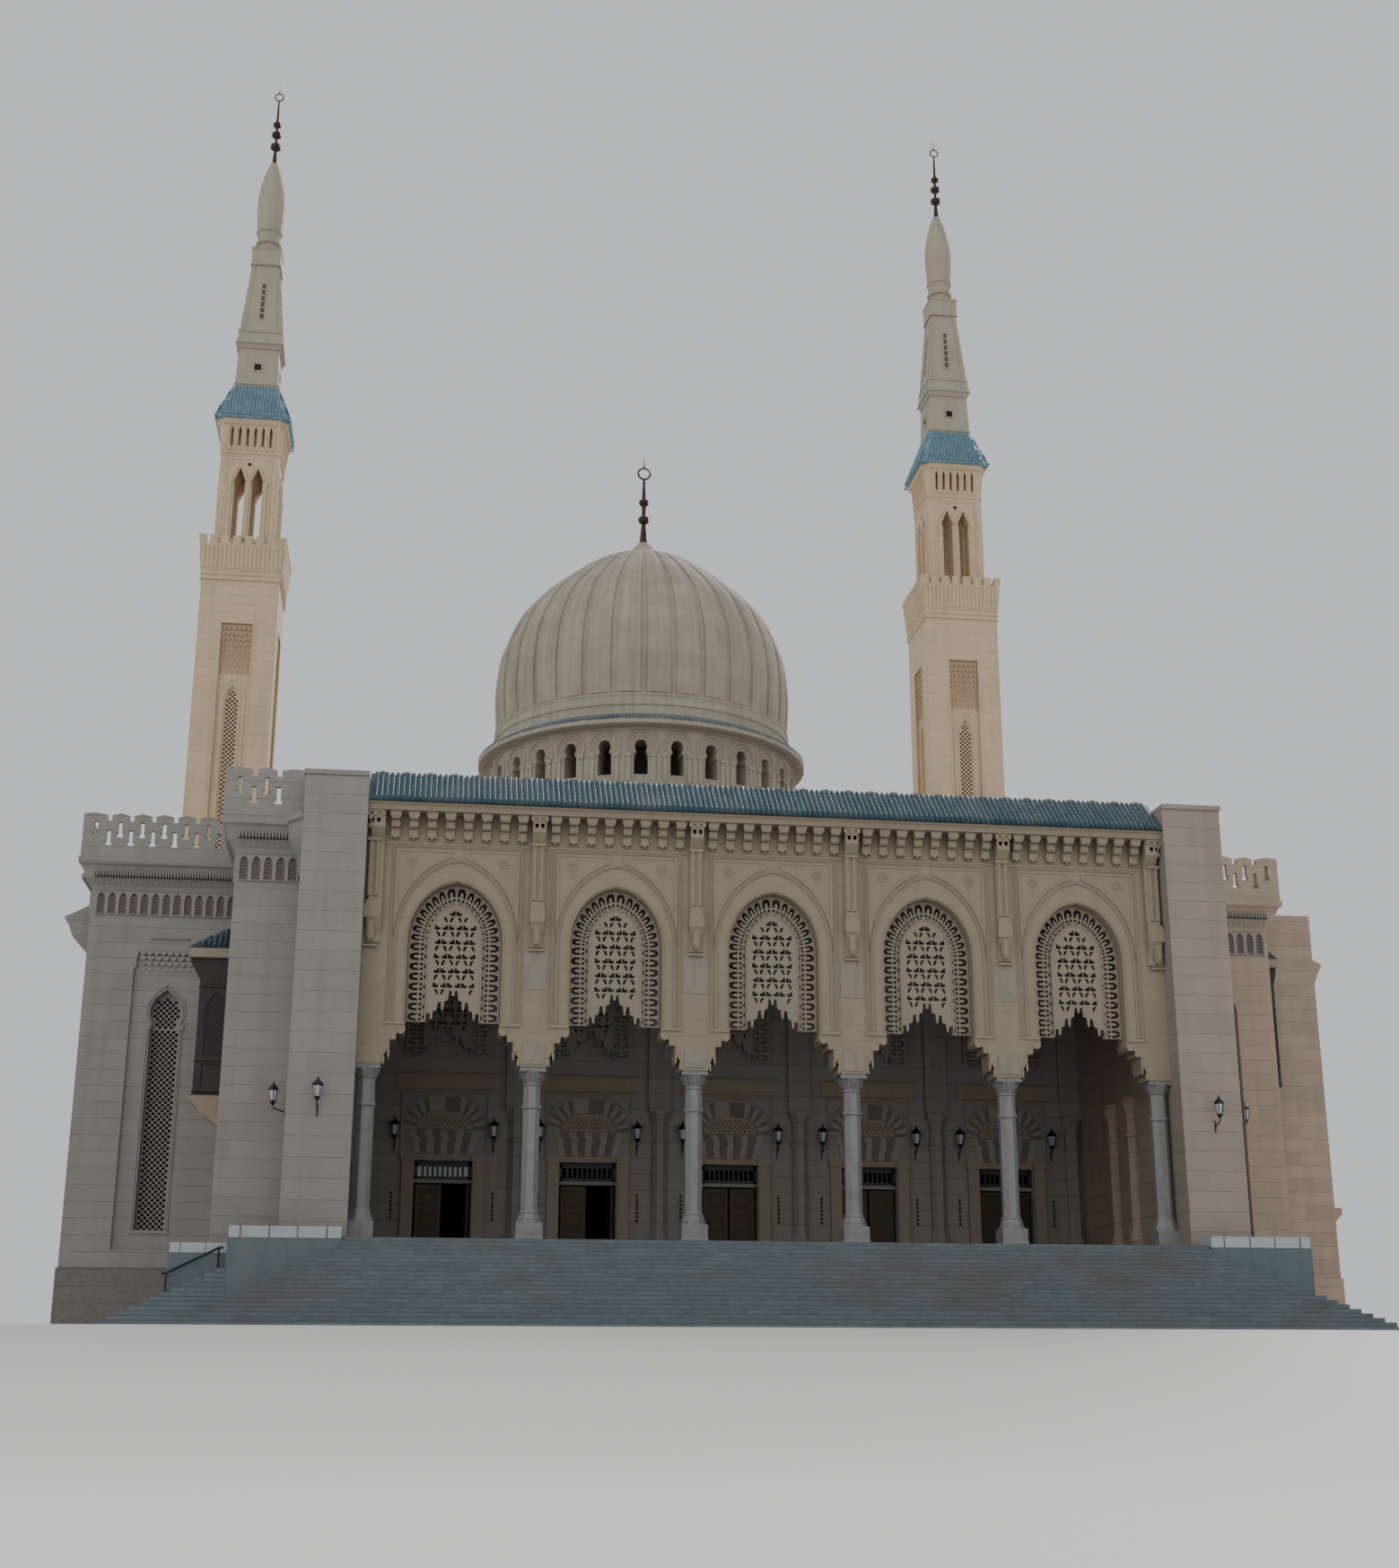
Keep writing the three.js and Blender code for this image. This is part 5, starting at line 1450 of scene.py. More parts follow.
class MOSQUE_OT_friezes(bpy.types.Operator):
    """Friezes of little arches and rows of dentils under the flared cornices"""

    bl_idname = "mosque.friezes"
    bl_label = "Friezes and dentils"

    def execute(self, context):
        stone = finishes["grey carving"]
        made = {"frieze_arches": [], "cornice_drops": [], "neck_blocks": [],
                "frieze_hollows": [], "drop_shades": []}
        # painted shade: a dark brown strip on the wall behind the pointed drops
        painted_drop_shade = Pile()
        painted_drop_shade.prism(rect(-0.24, 0.24, 0.0, 0.24), on_front(0.0), 0.28, 0.4)
        # painted shade: a dark brown sheet on the wall inside each small arch of the frieze
        back = Pile()
        back.prism(rect(-0.19, 0.19, 0.03, 0.98), on_front(0.0), -0.01, 0.012)
        pitch, fine = real(sizes().frieze_pitch), real(sizes().drop_pitch)
        for run in ornament_runs():
            made["frieze_arches"].append(run.rows(frieze_pile(), stone, pitch, run.top - 4.5, 0.05))
            made["frieze_hollows"].append(run.rows(back, finishes["hollow"], pitch, run.top - 4.5, 0.05))
            made["cornice_drops"].append(run.rows(drop_pile(), stone, fine, run.top - 2.88, 0.05))
            made["drop_shades"].append(run.rows(painted_drop_shade, finishes["hollow"], pitch, run.top - 2.88, 0.05))
            made["neck_blocks"].append(run.rows(neck_block_pile(), stone, pitch / 2, run.top - 2.84, 0.05))
        for name, meshes in made.items():
            piece(name, joined(name, meshes), stone)
        # painted shadow: near-black plates on the parapet for the dark of slits that are not cut
        slits = []
        for side in (-1, 1):
            start = WING_FRONT + 0.6 if side < 0 else 26.0
            run = Run(side * (WING_OUT + 0.55), start, (0, 1), side * math.pi / 2,
                      HALL_BACK - start, WING_TOP)
            slit = Pile()
            for u, v in ((0.0, -0.4), (0.4775, -0.78)):
                right = [(u + 0.14, v - 0.71), (u + 0.14, v - 0.52), (u + 0.085, v - 0.52), (u + 0.085, v)]
                left = [(2 * u - a, b) for a, b in reversed(right)]
                slit.prism(right + left, on_front(0.0), -0.01, 0.006)
            slits.append(run.rows(slit, finishes["shadow"], 0.955, WING_TOP, 0.5))
        piece("parapet_slits", joined("parapet_slits", slits), finishes["shadow"])
        return {"FINISHED"}


# Windows: lattices and surrounds

def in_keyhole(u, v):
    """Inside the light of a tall keyhole window, a little clear of its edge."""
    return u * u + (v - 13.85) ** 2 < 0.56 ** 2 or abs(u) < 0.45 and 13.1 < v < 13.6


KEYHOLE = [(-0.6, 13.02), (0.6, 13.02), (0.53, 13.12), (0.53, 13.25), (0.66, 13.6), (0.64, 14.0),
           (0.45, 14.4), (0.12, 14.65), (0.0, 14.85), (-0.12, 14.65), (-0.45, 14.4), (-0.64, 14.0),
           (-0.66, 13.6), (-0.53, 13.25), (-0.53, 13.12)]


def window_lattice(pitch, radius, place, near, far):
    """Pierced lattice of a keyhole window: short level strips of round holes, with the head on top."""
    pile = Pile()
    strips = int(8.6 / pitch / 5)
    height = 8.6 / strips
    strip = Pile()
    holes = grid_holes(0.56, 0.0, height, height / 5, radius, lambda u, v: abs(u) < 0.6 - radius)
    strip.plate(rect(-0.61, 0.61, 0, height), holes, place, near, far)
    for k in range(strips):
        pile.take(strip, lambda x, y, z, k=k: (x, y, z + 4.42 + height * k))
    pile.plate(KEYHOLE, grid_holes(0.6, 13.1, 14.6, height / 5, radius, in_keyhole), place, near, far)
    return pile


def keyhole_surround(place):
    """Thin mouldings round a keyhole window, a sill and small capitals."""
    pile = Pile()
    wide = [(0.76, 4.4), (0.74, 13.0), (0.66, 13.2), (0.82, 13.7),
            (0.78, 14.15), (0.45, 14.65), (0.0, 14.98)]
    narrow = [(0.68, 4.4), (0.65, 13.0), (0.58, 13.2), (0.73, 13.7), (0.7, 14.1), (0.4, 14.5), (0.0, 14.8)]
    for path, size in ((wide, 0.05), (narrow, 0.04)):
        pile.ribbon(over(path), small_moulding(size, size * 1.4), place)
    pile.prism(rect(-0.82, 0.82, 4.3, 4.4), place, 0.0, 0.06)
    for u in (-0.72, 0.72):
        pile.prism([(u - 0.08, 13.0), (u + 0.08, 13.0), (u + 0.11, 13.2), (u - 0.11, 13.2)], place, 0.0, 0.08)
    return pile


def stalactites(half, foot, tiers, tier_height, count, place, depth):
    """Tiers of small hanging niches, each tier standing out further than the one below."""
    pile = Pile()
    for tier in range(tiers):
        v0 = foot + tier * tier_height
        out = depth * (tier + 1) / tiers
        number = count + tier % 2
        width = 2 * half / number
        for k in range(number):
            u = -half + width * (k + 0.5)
            w = width * 0.46
            drop = [(u - w, v0 + tier_height), (u - w, v0 + tier_height * 0.55),
                    (u - w * 0.5, v0 + tier_height * 0.2),
                    (u, v0), (u + w * 0.5, v0 + tier_height * 0.2), (u + w, v0 + tier_height * 0.55),
                    (u + w, v0 + tier_height)]
            pile.prism(drop, place, 0.0, out)
        pile.prism(rect(-half, half, v0 + tier_height * 0.82, v0 + tier_height), place, 0.0, out * 1.04)
    return pile


class MOSQUE_OT_windows(bpy.types.Operator):
    """Fish-scale lattices and mouldings of the tall keyhole windows in the wing and the hall"""

    bl_idname = "mosque.windows"
    bl_label = "Tall windows"

    def execute(self, context):
        stone = finishes["grey carving"]
        panel_face = WING_FRONT + 0.15
        plain = on_front(panel_face)

        def at_wing(u, v, w):
            return plain(WING_WINDOW_X + u, v, w)

        wing = keyhole_surround(at_wing)
        wing.take(stalactites(1.3, 15.55, 4, 0.23, 8, at_wing, 0.14))
        front = on_front(WING_FRONT)
        wing.ribbon([(WING_WINDOW_X - 0.91, 17.02), (WING_WINDOW_X + 0.83, 17.02)],
                    small_moulding(0.08, 0.08), front)
        wing.ribbon([(-WING_OUT + 0.05, 2.9), (-BLOCK_OUT - 0.05, 2.9)], small_moulding(0.12, 0.1), front)
        fine, coarse = real(sizes().wing_lattice_pitch), real(sizes().lattice_pitch)
        piece("wing_window_surround", wing, stone)
        piece("wing_window_lattice", window_lattice(fine, fine * 0.34, at_wing, -0.4, -0.35),
              stone)

        # painted shadow: a near-black sheet behind each window's lattice for the unlit room inside; panes
        # holds the wing window's sheet
        shadow_sheet = Pile()
        shadow_sheet.prism([(-0.6, 4.42), (0.6, 4.42), *KEYHOLE[1:], KEYHOLE[0]], on_front(0.0), -0.66, -0.6)
        panes = Pile()
        panes.take(shadow_sheet, lambda x, y, z: (x + WING_WINDOW_X, y + panel_face, z))
        quarter = math.pi / 2
        outside = on_front(0.0)
        lattice = window_lattice(coarse, coarse * 0.31, outside, -0.45, -0.37)
        surround = keyhole_surround(outside)
        made = {"hall_window_lattices": (lattice, finishes["screen"]),
                "hall_window_surrounds": (surround, stone),
                "window_panes": (shadow_sheet, finishes["shadow"])}
        for name, (pattern, finish) in made.items():
            rows = [rows_of(turned_pile(pattern, side * quarter), finish,
                            (side * WING_OUT, 20.5, 0), 7, (0, 8.0, 0))
                    for side in (-1, 1)]
            rows.append(rows_of(turned_pile(pattern, math.pi), finish, (-20, HALL_BACK, 0), 5, (10.0, 0, 0)))
            if name == "window_panes":
                rows.append(panes.mesh(name))
            piece(name, joined(name, rows), finish)
        return {"FINISHED"}


# Wooden bay windows

def bay_end(pile, place):
    """Framed end of a bay window, u outwards from the wall: an arched light with a lattice, under a panel."""
    u0, u1 = 0.02, 1.34
    outer = rect(u0, u1, 9.3, 13.84)
    middle = (u0 + u1) / 2
    arch = arched(0.44, 10.7, 12.5, 0.75, 8, middle)
    panel = rect(middle - 0.44, middle + 0.44, 9.5, 10.4)
    pile.plate(outer, [arch, panel], place, 0.0, 0.07)
    for k in range(-5, 14):
        for lean in (-1, 1):
            a, b = 10.7 + k * 0.22, 10.7 + k * 0.22 + 0.88
            low, high = max(a, 10.7), min(b, 13.15)
            if high - low < 0.1:
                continue
            x_low = lean * (low - a - 0.44)
            x_high = lean * (high - a - 0.44)
            bar = [(middle + x_low - 0.015, low), (middle + x_low + 0.015, low),
                   (middle + x_high + 0.015, high), (middle + x_high - 0.015, high)]
            pile.prism(bar, place, -0.01, 0.03)
    for v in (9.3, 10.52, 13.5):
        pile.ribbon([(u0, v), (u1, v)], small_moulding(0.06, 0.07), lambda a, b, c: place(a, b, c + 0.06))
    for k in range(5):
        u = 0.2 + 0.25 * k
        pile.prism([(u - 0.09, 13.82), (u + 0.09, 13.82), (u + 0.09, 13.68), (u, 13.56), (u - 0.09, 13.68)],
                   place, 0.06, 0.1)


def bay_front(pile, place):
    """Outer face of a bay window, u along the wall: three arched lights with round bars over three panels."""
    lights, panels = [], []
    for k in (-1, 0, 1):
        lights.append(arched(0.36, 10.7, 12.6, 0.6, 8, 0.98 * k))
        panels.append(rect(0.98 * k - 0.36, 0.98 * k + 0.36, 9.5, 10.4))
        for bar in range(-2, 3):
            u = 0.98 * k + 0.13 * bar
            pile.prism(rect(u - 0.02, u + 0.02, 10.7, 13.1), place, -0.01, 0.03)
    pile.plate(rect(-1.48, 1.48, 9.3, 13.84), lights + panels, place, 0.0, 0.07)
    for v in (9.3, 10.52, 13.5):
        pile.ribbon([(-1.5, v), (1.5, v)], small_moulding(0.06, 0.07), lambda a, b, c: place(a, b, c + 0.06))


def slope_tiles(pile, count, eave, top, place):
    """Half-round tiles up a slope, cut off along its hips. Eave and top are the ends of its level edges."""
    for k in range(count):
        u = eave[0] + (eave[1] - eave[0]) * (k + 0.5) / count
        path = []
        for t in (0.0, 0.25, 0.5, 0.75, 1.0):
            low, high = (a + (b - a) * t for a, b in zip(eave, top))
            if low - 0.02 <= u <= high + 0.02:
                path.append(place(u, t))
        if len(path) > 1:
            pile.rod(path, 0.085, 6)


class MOSQUE_OT_bay_windows(bpy.types.Operator):
    """Framed ends and fronts, scroll corbels and tiled hoods of the two wooden bay windows"""

    bl_idname = "mosque.bay_windows"
    bl_label = "Bay windows"

    def execute(self, context):
        sites = (("left", -1, BLOCK_OUT, 7.3, 1.5, 1.0, 0.0),
                 ("right", 1, RIGHT_BLOCK_OUT, 11.75, 0.9, 0.37, 2.0))
        for word, side, out, middle, half, reach, lift in sites:
            wall = side * (out + 0.003)

            def at(u, across, v):
                return wall + side * u * reach, middle + across, v + lift

            frame, stone, tiles = Pile(), Pile(), Pile()
            for end in (-1, 1):
                bay_end(frame, lambda u, v, w: at(u, end * (half + w * reach), v))
            bay_front(frame, lambda u, v, w: at(1.34 + w, u * half / 1.5, v))
            bracket = [(0.0, 13.85), (1.34, 13.85), (1.72, 14.35), (1.82, 14.66), (0.0, 14.66)]
            for k in range(5):
                across = half * (k - 2) / 2.08
                frame.prism([(u * 1.012, v) for u, v in bracket],
                            lambda u, v, w: at(u, across + w, v), -0.05, 0.05)
            scroll = [(0.0, 7.86), (0.36, 8.02), (1.06, 8.48), (1.4, 8.9),
                      (1.56, 8.98), (1.54, 9.16), (0.0, 9.16)]
            stone.prism(scroll, lambda u, v, w: at(u, w, v), -half - 0.02, half + 0.02)
            stone.prism(rect(0.0, 1.875, 14.69, 15.06),
                        lambda u, v, w: at(u, w, v), -half - 0.215, half + 0.215)
            reach_top = 1.2 if side < 0 else 0.92 - 0.1
            foot = 15.12 if side < 0 else 15.1
            eave = half + 0.2
            along = int(2 * eave / 0.2)
            slope_tiles(tiles, along, (-eave, eave), (-0.4, 0.4),
                        lambda u, t: at(1.92 - 1.7 * t, u, foot + (reach_top - 0.02) * t))
            for end in (-1, 1):
                slope_tiles(tiles, max(int(1.9 * reach / 0.2), 2), (0.0, 1.9), (0.0, 0.2), lambda u, t: at(
                    u, end * (eave + 0.02 - (eave - 0.4) * t), foot + (reach_top - 0.02) * t))
            piece(f"{word}_bay_frame", frame, finishes["timber"])
            piece(f"{word}_bay_stone", stone, finishes["carving"])
            piece(f"{word}_bay_tiles", tiles, finishes["tile"], smooth=50)
        return {"FINISHED"}


# Lanterns, handrail and downpipe

class MOSQUE_OT_fittings(bpy.types.Operator):
    """Wall lanterns on the pylons, the handrail of the left side steps and the downpipe"""

    bl_idname = "mosque.fittings"
    bl_label = "Lanterns and rail"

    def execute(self, context):
        iron, glass = Pile(), Pile()
        for side in (-1, 1):
            lantern_piles(iron, glass, lambda a, out, z: (side * 17.4 + a, -out, z + 8.6), 0.8)
            lantern_piles(iron, glass, lambda a, out, z: (side * (PYLON_OUT + out), 1.0 + a, z + 8.6), 0.8)
        piece("wall_lantern_frames", iron, finishes["iron"])
        piece("wall_lantern_panes", glass, finishes["glass"])
        rail = Pile()
        y = -1.1
        rail.rod([(-20.35, y, 2.86), (-20.5, y, 2.84), (-22.27, y, 1.96), (-22.42, y, 1.93)], 0.045, 8)
        rail.rod([(-20.5, y, 1.98), (-20.5, y, 2.84)], 0.035, 8)
        rail.rod([(-22.27, y, 1.0), (-22.27, y, 1.96)], 0.035, 8)
        boxes = Pile()
        upper = (16.22, 16.7, 16.76, 17.73, 17.78, 18.72, 18.77, 19.72, 19.78, 20.15)
        lower = (20.24, 21.0, 21.03, 21.88, 21.91, 22.26)
        for side, ends, y0, y1, z0, z1 in (
                (-1, upper, -1.68, -0.49, 3.18, 3.585), (1, upper, -1.68, -0.49, 3.18, 3.585),
                                           (-1, lower, -0.72, -0.09, 2.69, 3.045)):
            for near, far in zip(ends[::2], ends[1::2]):
                boxes.box(*sorted((side * near, side * far)), y0, y1, z0, z1)
        piece("planter_boxes", boxes, finishes["planter box"])
        piece("side_steps_handrail", rail, finishes["iron"], smooth=50)
        pipe = Pile()
        x, y = 18.66, 0.12
        pipe.rod([(x - 0.04, y, 12.85), (x, y - 0.02, 12.6), (x, y, 3.4), (x, y, 0.3)], 0.06, 10)
        for z in (12.4, 9.4, 6.4, 3.6, 1.0):
            pipe.lathe([(0.085, z), (0.085, z + 0.1)], 10, x, y)
        piece("downpipe", pipe, finishes["clay pipe"], smooth=50)
        bracket = Pile()
        outline = [(28.4, 4.9), (28.45, 4.9), (29.1, 5.3), (29.75, 5.9), (29.75, 6.2), (28.4, 6.2)]
        bracket.prism(outline, lambda u, v, w: (u, 15.4 + w, v), 0.0, 1.5)
        piece("right_lower_bracket", bracket, finishes["right wing"])
        return {"FINISHED"}


# Drum and dome

def smooth_profile(points, steps=5):
    """A rounder profile through the same (radius, z) points."""
    made = []
    for i in range(len(points) - 1):
        p0, p1 = points[max(i - 1, 0)], points[i]
        p2, p3 = points[i + 1], points[min(i + 2, len(points) - 1)]
        for k in range(steps):
            t = k / steps
            made.append(tuple(
                0.5 * (2 * b + (c - a) * t + (2 * a - 5 * b + 4 * c - d) * t * t
                       + (3 * b - a - 3 * c + d) * t ** 3)
                for a, b, c, d in zip(p0, p1, p2, p3)))
    made.append(points[-1])
    return made


DOME_PROFILE = [(9.48, 39.3), (9.6, 41.6), (9.45, 43.6), (9.08, 45.1), (8.02, 47.3),
                (6.12, 49.3), (3.62, 51.3), (1.55, 52.3),
                (0.95, 52.7), (0.6, 53.1), (0.34, 53.4)]


def dome_pile():
    """The dome: wide gores that stand proud of the narrow strips between them, on a plain base ring."""
    pile = Pile()
    rings = []
    for r, z in smooth_profile(DOME_PROFILE):
        proud = 0.13 * min(r / 6, 1)
        ring = []
        for i in range(GORES):
            for part, out in ((-0.4, 0.0), (-0.385, proud), (-0.19, proud * 1.35), (0.0, proud * 1.5),
                              (0.19, proud * 1.35), (0.385, proud), (0.4, 0.0)):
                a = math.tau * (i + part) / GORES
                ring.append(((r + out) * math.sin(a), DOME_Y - (r + out) * math.cos(a), z))
        rings.append(ring)
    pile.skin(rings)
    base = [(9.0, 37.7), (9.84, 37.75), (9.84, 37.86), (9.77, 37.92),
            (9.77, 38.36), (9.84, 38.42), (9.84, 38.54),
            (9.77, 38.6), (9.72, 39.0), (9.76, 39.06), (9.76, 39.22), (9.3, 39.32)]
    pile.lathe(base, 96, 0, DOME_Y)
    pile.lathe([(0.36, 53.3), (0.42, 53.36), (0.36, 53.42)], 16, 0, DOME_Y)
    return pile


def drum_window_pile():
    """Surround of one drum window on the drum's front: side pilasters and a double horseshoe moulding."""
    pile = Pile()
    face = -10.04

    def place(u, v, w):
        return u, face - w, v - 0.62

    def horseshoe(radius):
        loop = []
        for k in range(15):
            a = math.radians(-38 + 256 * k / 14)
            loop.append((radius * math.cos(a), 36.2 + radius * math.sin(a)))
        foot = loop[0][0]
        return [(foot, 35.75), *loop, (-foot, 35.75)]

    for radius, size in ((0.98, 0.1), (0.7, 0.05), (0.47, 0.05)):
        pile.ribbon(list(reversed(horseshoe(radius))), small_moulding(size, size * 1.3), place)
    for side in (-1, 1):
        u = side * 0.78
        pile.prism(rect(u - 0.13, u + 0.13, 34.0, 35.55), place, -0.05, 0.07)
        pile.prism(rect(u - 0.19, u + 0.19, 35.55, 35.78), place, -0.05, 0.12)
    pile.prism(rect(-1.1, 1.1, 33.72, 33.95), place, -0.05, 0.12)
    for side in (-1, 1):
        low, high = sorted((side * 0.99, side * 1.13))
        pile.prism(rect(low, high, 33.95, 35.7), place, -0.07, 0.03)
    return pile


class MOSQUE_OT_dome(bpy.types.Operator):
    """The dome's gores and base ring, and the mouldings of its drum"""

    bl_idname = "mosque.dome"
    bl_label = "Dome and drum"

    def execute(self, context):
        piece("dome_gores", dome_pile(), finishes["dome"], smooth=28, replaces=["dome"])
        step = math.tau / DRUM_WINDOWS
        surrounds = ring_of(drum_window_pile(), finishes["dome carving"], (0, DOME_Y, 0),
                            DRUM_WINDOWS, step / 2, step)
        piece("drum_window_surrounds", surrounds, finishes["dome carving"])
        rings = Pile()
        rings.lathe([(10.0, 36.68), (10.14, 36.7), (10.14, 36.78), (10.3, 36.82),
                     (10.72, 36.87), (10.78, 36.93),
                     (10.78, 37.14), (10.66, 37.2), (9.8, 37.24)], 112, 0, DOME_Y)
        piece("drum_cornice", rings, finishes["dome carving"], smooth=30)
        tile = Pile()
        tile.rod([(0, -10.76, 37.22), (0, -10.3, 37.46), (0, -9.82, 37.74)], 0.08, 6)
        tiles = ring_of(tile, finishes["drum tile"], (0, DOME_Y, 0), DRUM_TILES, 0, math.tau / DRUM_TILES)
        piece("drum_tiles", tiles, finishes["drum tile"])
        return {"FINISHED"}


# Minarets

def face_ring(pattern, finish, side, smooth=0.0):
    """A pattern on the front face of a minaret, about the minaret's axis, on all four faces."""
    return ring_of(pattern, finish, (side * MINARET_X, MINARET_Y, 0), 4, 0, math.pi / 2, smooth)


def on_all_faces(name, pattern, finish, smooth=0.0):
    meshes = [face_ring(pattern, finish, side, smooth) for side in (-1, 1)]
    return piece(name, joined(name, meshes), finish)


def shaft_pile():
    """Carving on one face of a shaft: frames round the long panel, an arched moulding and its sill."""
    pile = Pile()
    recess = on_front(-MINARET_HALF + 0.2)
    face = on_front(-MINARET_HALF)
    half, foot, top = 1.25, 3.4, 55.7
    pile.ribbon([(-half, foot), (-half, top), (half, top), (half, foot)], small_moulding(0.06, 0.12), face)
    pile.ribbon([(-half, foot), (half, foot)], small_moulding(0.12, 0.2), face)
    for half, size in ((0.98, 0.06), (0.66, 0.07)):
        right = [(half, 3.6), (half, 48.9), (half, 49.3), *arc(half, 49.4, 1.2 + (half - 0.6), 8)]
        pile.ribbon(over(right), small_moulding(size, size * 1.3), recess)
    pile.prism(rect(-0.62, 0.62, 5.7, 6.0), recess, 0.0, 0.12)
    for v in (59.35, 59.75, 60.15):
        pile.ribbon([(-3.15, v), (3.15, v)], small_moulding(0.05, 0.1), on_front(-3.13))
    # upright grooves of the balcony's flared foot
    for k in range(-9, 10):
        u = 0.335 * k
        rings = []
        for v, out in ((60.25, 3.13), (62.1, 3.32)):
            rings.append([(u - 0.11, -out + 0.1, v), (u + 0.11, -out + 0.1, v), (u + 0.11, -out - 0.05, v),
                          (u - 0.11, -out - 0.05, v)])
        pile.skin(rings)
    return pile


def light_lattice():
    """Pierced lattice of a shaft's long light on all four faces: strips of holes, with the head on top."""
    place = on_front(-MINARET_HALF + 0.5)
    height, pitch, radius = 1.8, 0.36, 0.115
    strip, head = Pile(), Pile()
    holes = grid_holes(0.5, 0.0, height, pitch, radius, lambda u, v: abs(u) < 0.43, 5)
    strip.plate(rect(-0.56, 0.56, 0, height), holes, place, 0.06, 0.12)
    holes = grid_holes(0.5, 49.2, 50.4, pitch, radius,
                       lambda u, v: (u / 0.4) ** 2 + ((v - 49.2) / 0.95) ** 2 < 1, 5)
    head.plate(arched(0.56, 49.2, 49.3, 1.2, 6), holes, place, 0.06, 0.12)
    meshes = []
    for side in (-1, 1):
        middle = (side * MINARET_X, MINARET_Y)
        for quarter in range(4):
            turned = turned_pile(strip, quarter * math.pi / 2)
            meshes.append(rows_of(turned, finishes["minaret carving"], (*middle, 6.0), 24, (0, 0, height)))
        meshes.append(face_ring(head, finishes["minaret carving"], side))
    return meshes


def lantern_stage_pile():
    """Carving on one face of the upper stage: colonnettes and arches of two lancets, frieze and gallery."""
    pile = Pile()
    face = on_front(-2.35)
    for u in (-1.42, 0.0, 1.42):
        pile.lathe([(0.17, 63.1), (0.17, 63.5), (0.11, 63.6), (0.11, 67.7), (0.18, 67.95), (0.18, 68.1)],
                   10, u, -2.4)
    for middle in (-0.7, 0.7):
        for half, size in ((0.66, 0.06), (0.54, 0.05)):
            right = [(half, 68.05), *arc(half, 68.2, 1.15 + (half - 0.5) * 1.2, 8)]
            path = [(middle - u, v) for u, v in right] + [(middle + u, v) for u, v in reversed(right[:-1])]
            pile.ribbon(path, small_moulding(size, size * 1.3), face)
    frame_path = [(-1.75, 63.1), (-1.75, 70.25), (1.75, 70.25), (1.75, 63.1)]
    pile.ribbon(frame_path, small_moulding(0.06, 0.12), face)
    for side in (-1, 1):
        for v in (64.5, 66.5, 68.5):
            u = side * 2.03
            pile.prism(rect(u - 0.13, u + 0.13, v - 0.8, v + 0.8), face, 0, 0.04)
    ring = disc(0, 69.75, 0.26)
    pile.plate(ring, [[(u * 0.6, 69.75 + (v - 69.75) * 0.6) for u, v in ring]], face, 0.0, 0.07)
    pile.ribbon([(-2.42, 70.75), (2.42, 70.75)], small_moulding(0.1, 0.16), face)
    # corbelled gallery: rows of hanging points that step outwards
    for v, out, count in ((71.05, 2.38, 9), (73.22, 2.66, 11)):
        for k in range(count):
            u = (k - (count - 1) / 2) * 0.44
            drop = [(u - 0.15, v + 0.3), (u + 0.15, v + 0.3), (u + 0.15, v + 0.1),
                    (u, v - 0.1), (u - 0.15, v + 0.1)]
            pile.prism(drop, on_front(-out), -0.05, 0.1)
    for k in range(7):
        u = -1.86 + 0.62 * k
        rings = []
        for v, out in ((71.3, 2.42), (73.1, 2.62)):
            rings.append([(u - 0.06, -out + 0.1, v), (u + 0.06, -out + 0.1, v), (u + 0.06, -out - 0.07, v),
                          (u - 0.06, -out - 0.07, v)])
        pile.skin(rings)
    return pile


def hood_tiles_pile():
    """Tiles on one slope of a minaret's roof: half-round ribs from the eave up, cut off along the hips."""
    pile = Pile()
    slope = [(3.04, 73.86), (2.27, 75.92), (1.8, 77.1)]
    for k in range(-10, 11):
        u = 0.27 * k
        path = []
        for (r0, z0), (r1, z1) in zip(slope, slope[1:]):
            for t in (0.0, 0.25, 0.5, 0.75, 1.0):
                r, z = r0 + (r1 - r0) * t, z0 + (z1 - z0) * t
                if abs(u) < r * 0.93:
                    path.append((u, -r - 0.02, z + 0.03))
        if len(path) > 1:
            pile.rod(path, 0.075, 6)
    pile.ribbon([(-3.0, 73.78), (3.0, 73.78)], small_moulding(0.06, 0.12), on_front(-2.99))
    return pile


def spire_pile():
    """Collars and mouldings on one face of the top stage, with a small square opening and a narrow slit."""
    pile = Pile()
    for v, half in ((77.35, 1.76), (80.75, 1.66), (81.15, 1.87), (82.25, 1.74), (88.95, 1.2), (90.5, 1.2)):
        pile.ribbon([(-half - 0.02, v), (half + 0.02, v)], small_moulding(0.07, 0.12), on_front(-half))
    pile.plate(rect(-0.4, 0.4, 78.55, 79.35),
               [rect(-0.28, 0.28, 78.67, 79.23)], on_front(-1.69), 0.0, 0.06)
    for k in range(7):
        v = 83.4 + 0.6 * k
        r = 1.7 - (v - 82.2) * 0.6 / 6.8
        pile.prism(rect(-0.28, 0.28, v, v + 0.12), on_front(-r), -0.04, 0.05)
    for side in (-1, 1):
        rings = []
        for v in (82.35, 88.8):
            r = 1.7 - (v - 82.2) * 0.6 / 6.8
            u = side * r * 0.8
            rings.append([(u - 0.07, -r + 0.05, v), (u + 0.07, -r + 0.05, v), (u + 0.07, -r - 0.05, v),
                          (u - 0.07, -r - 0.05, v)])
        pile.skin(rings)
    return pile


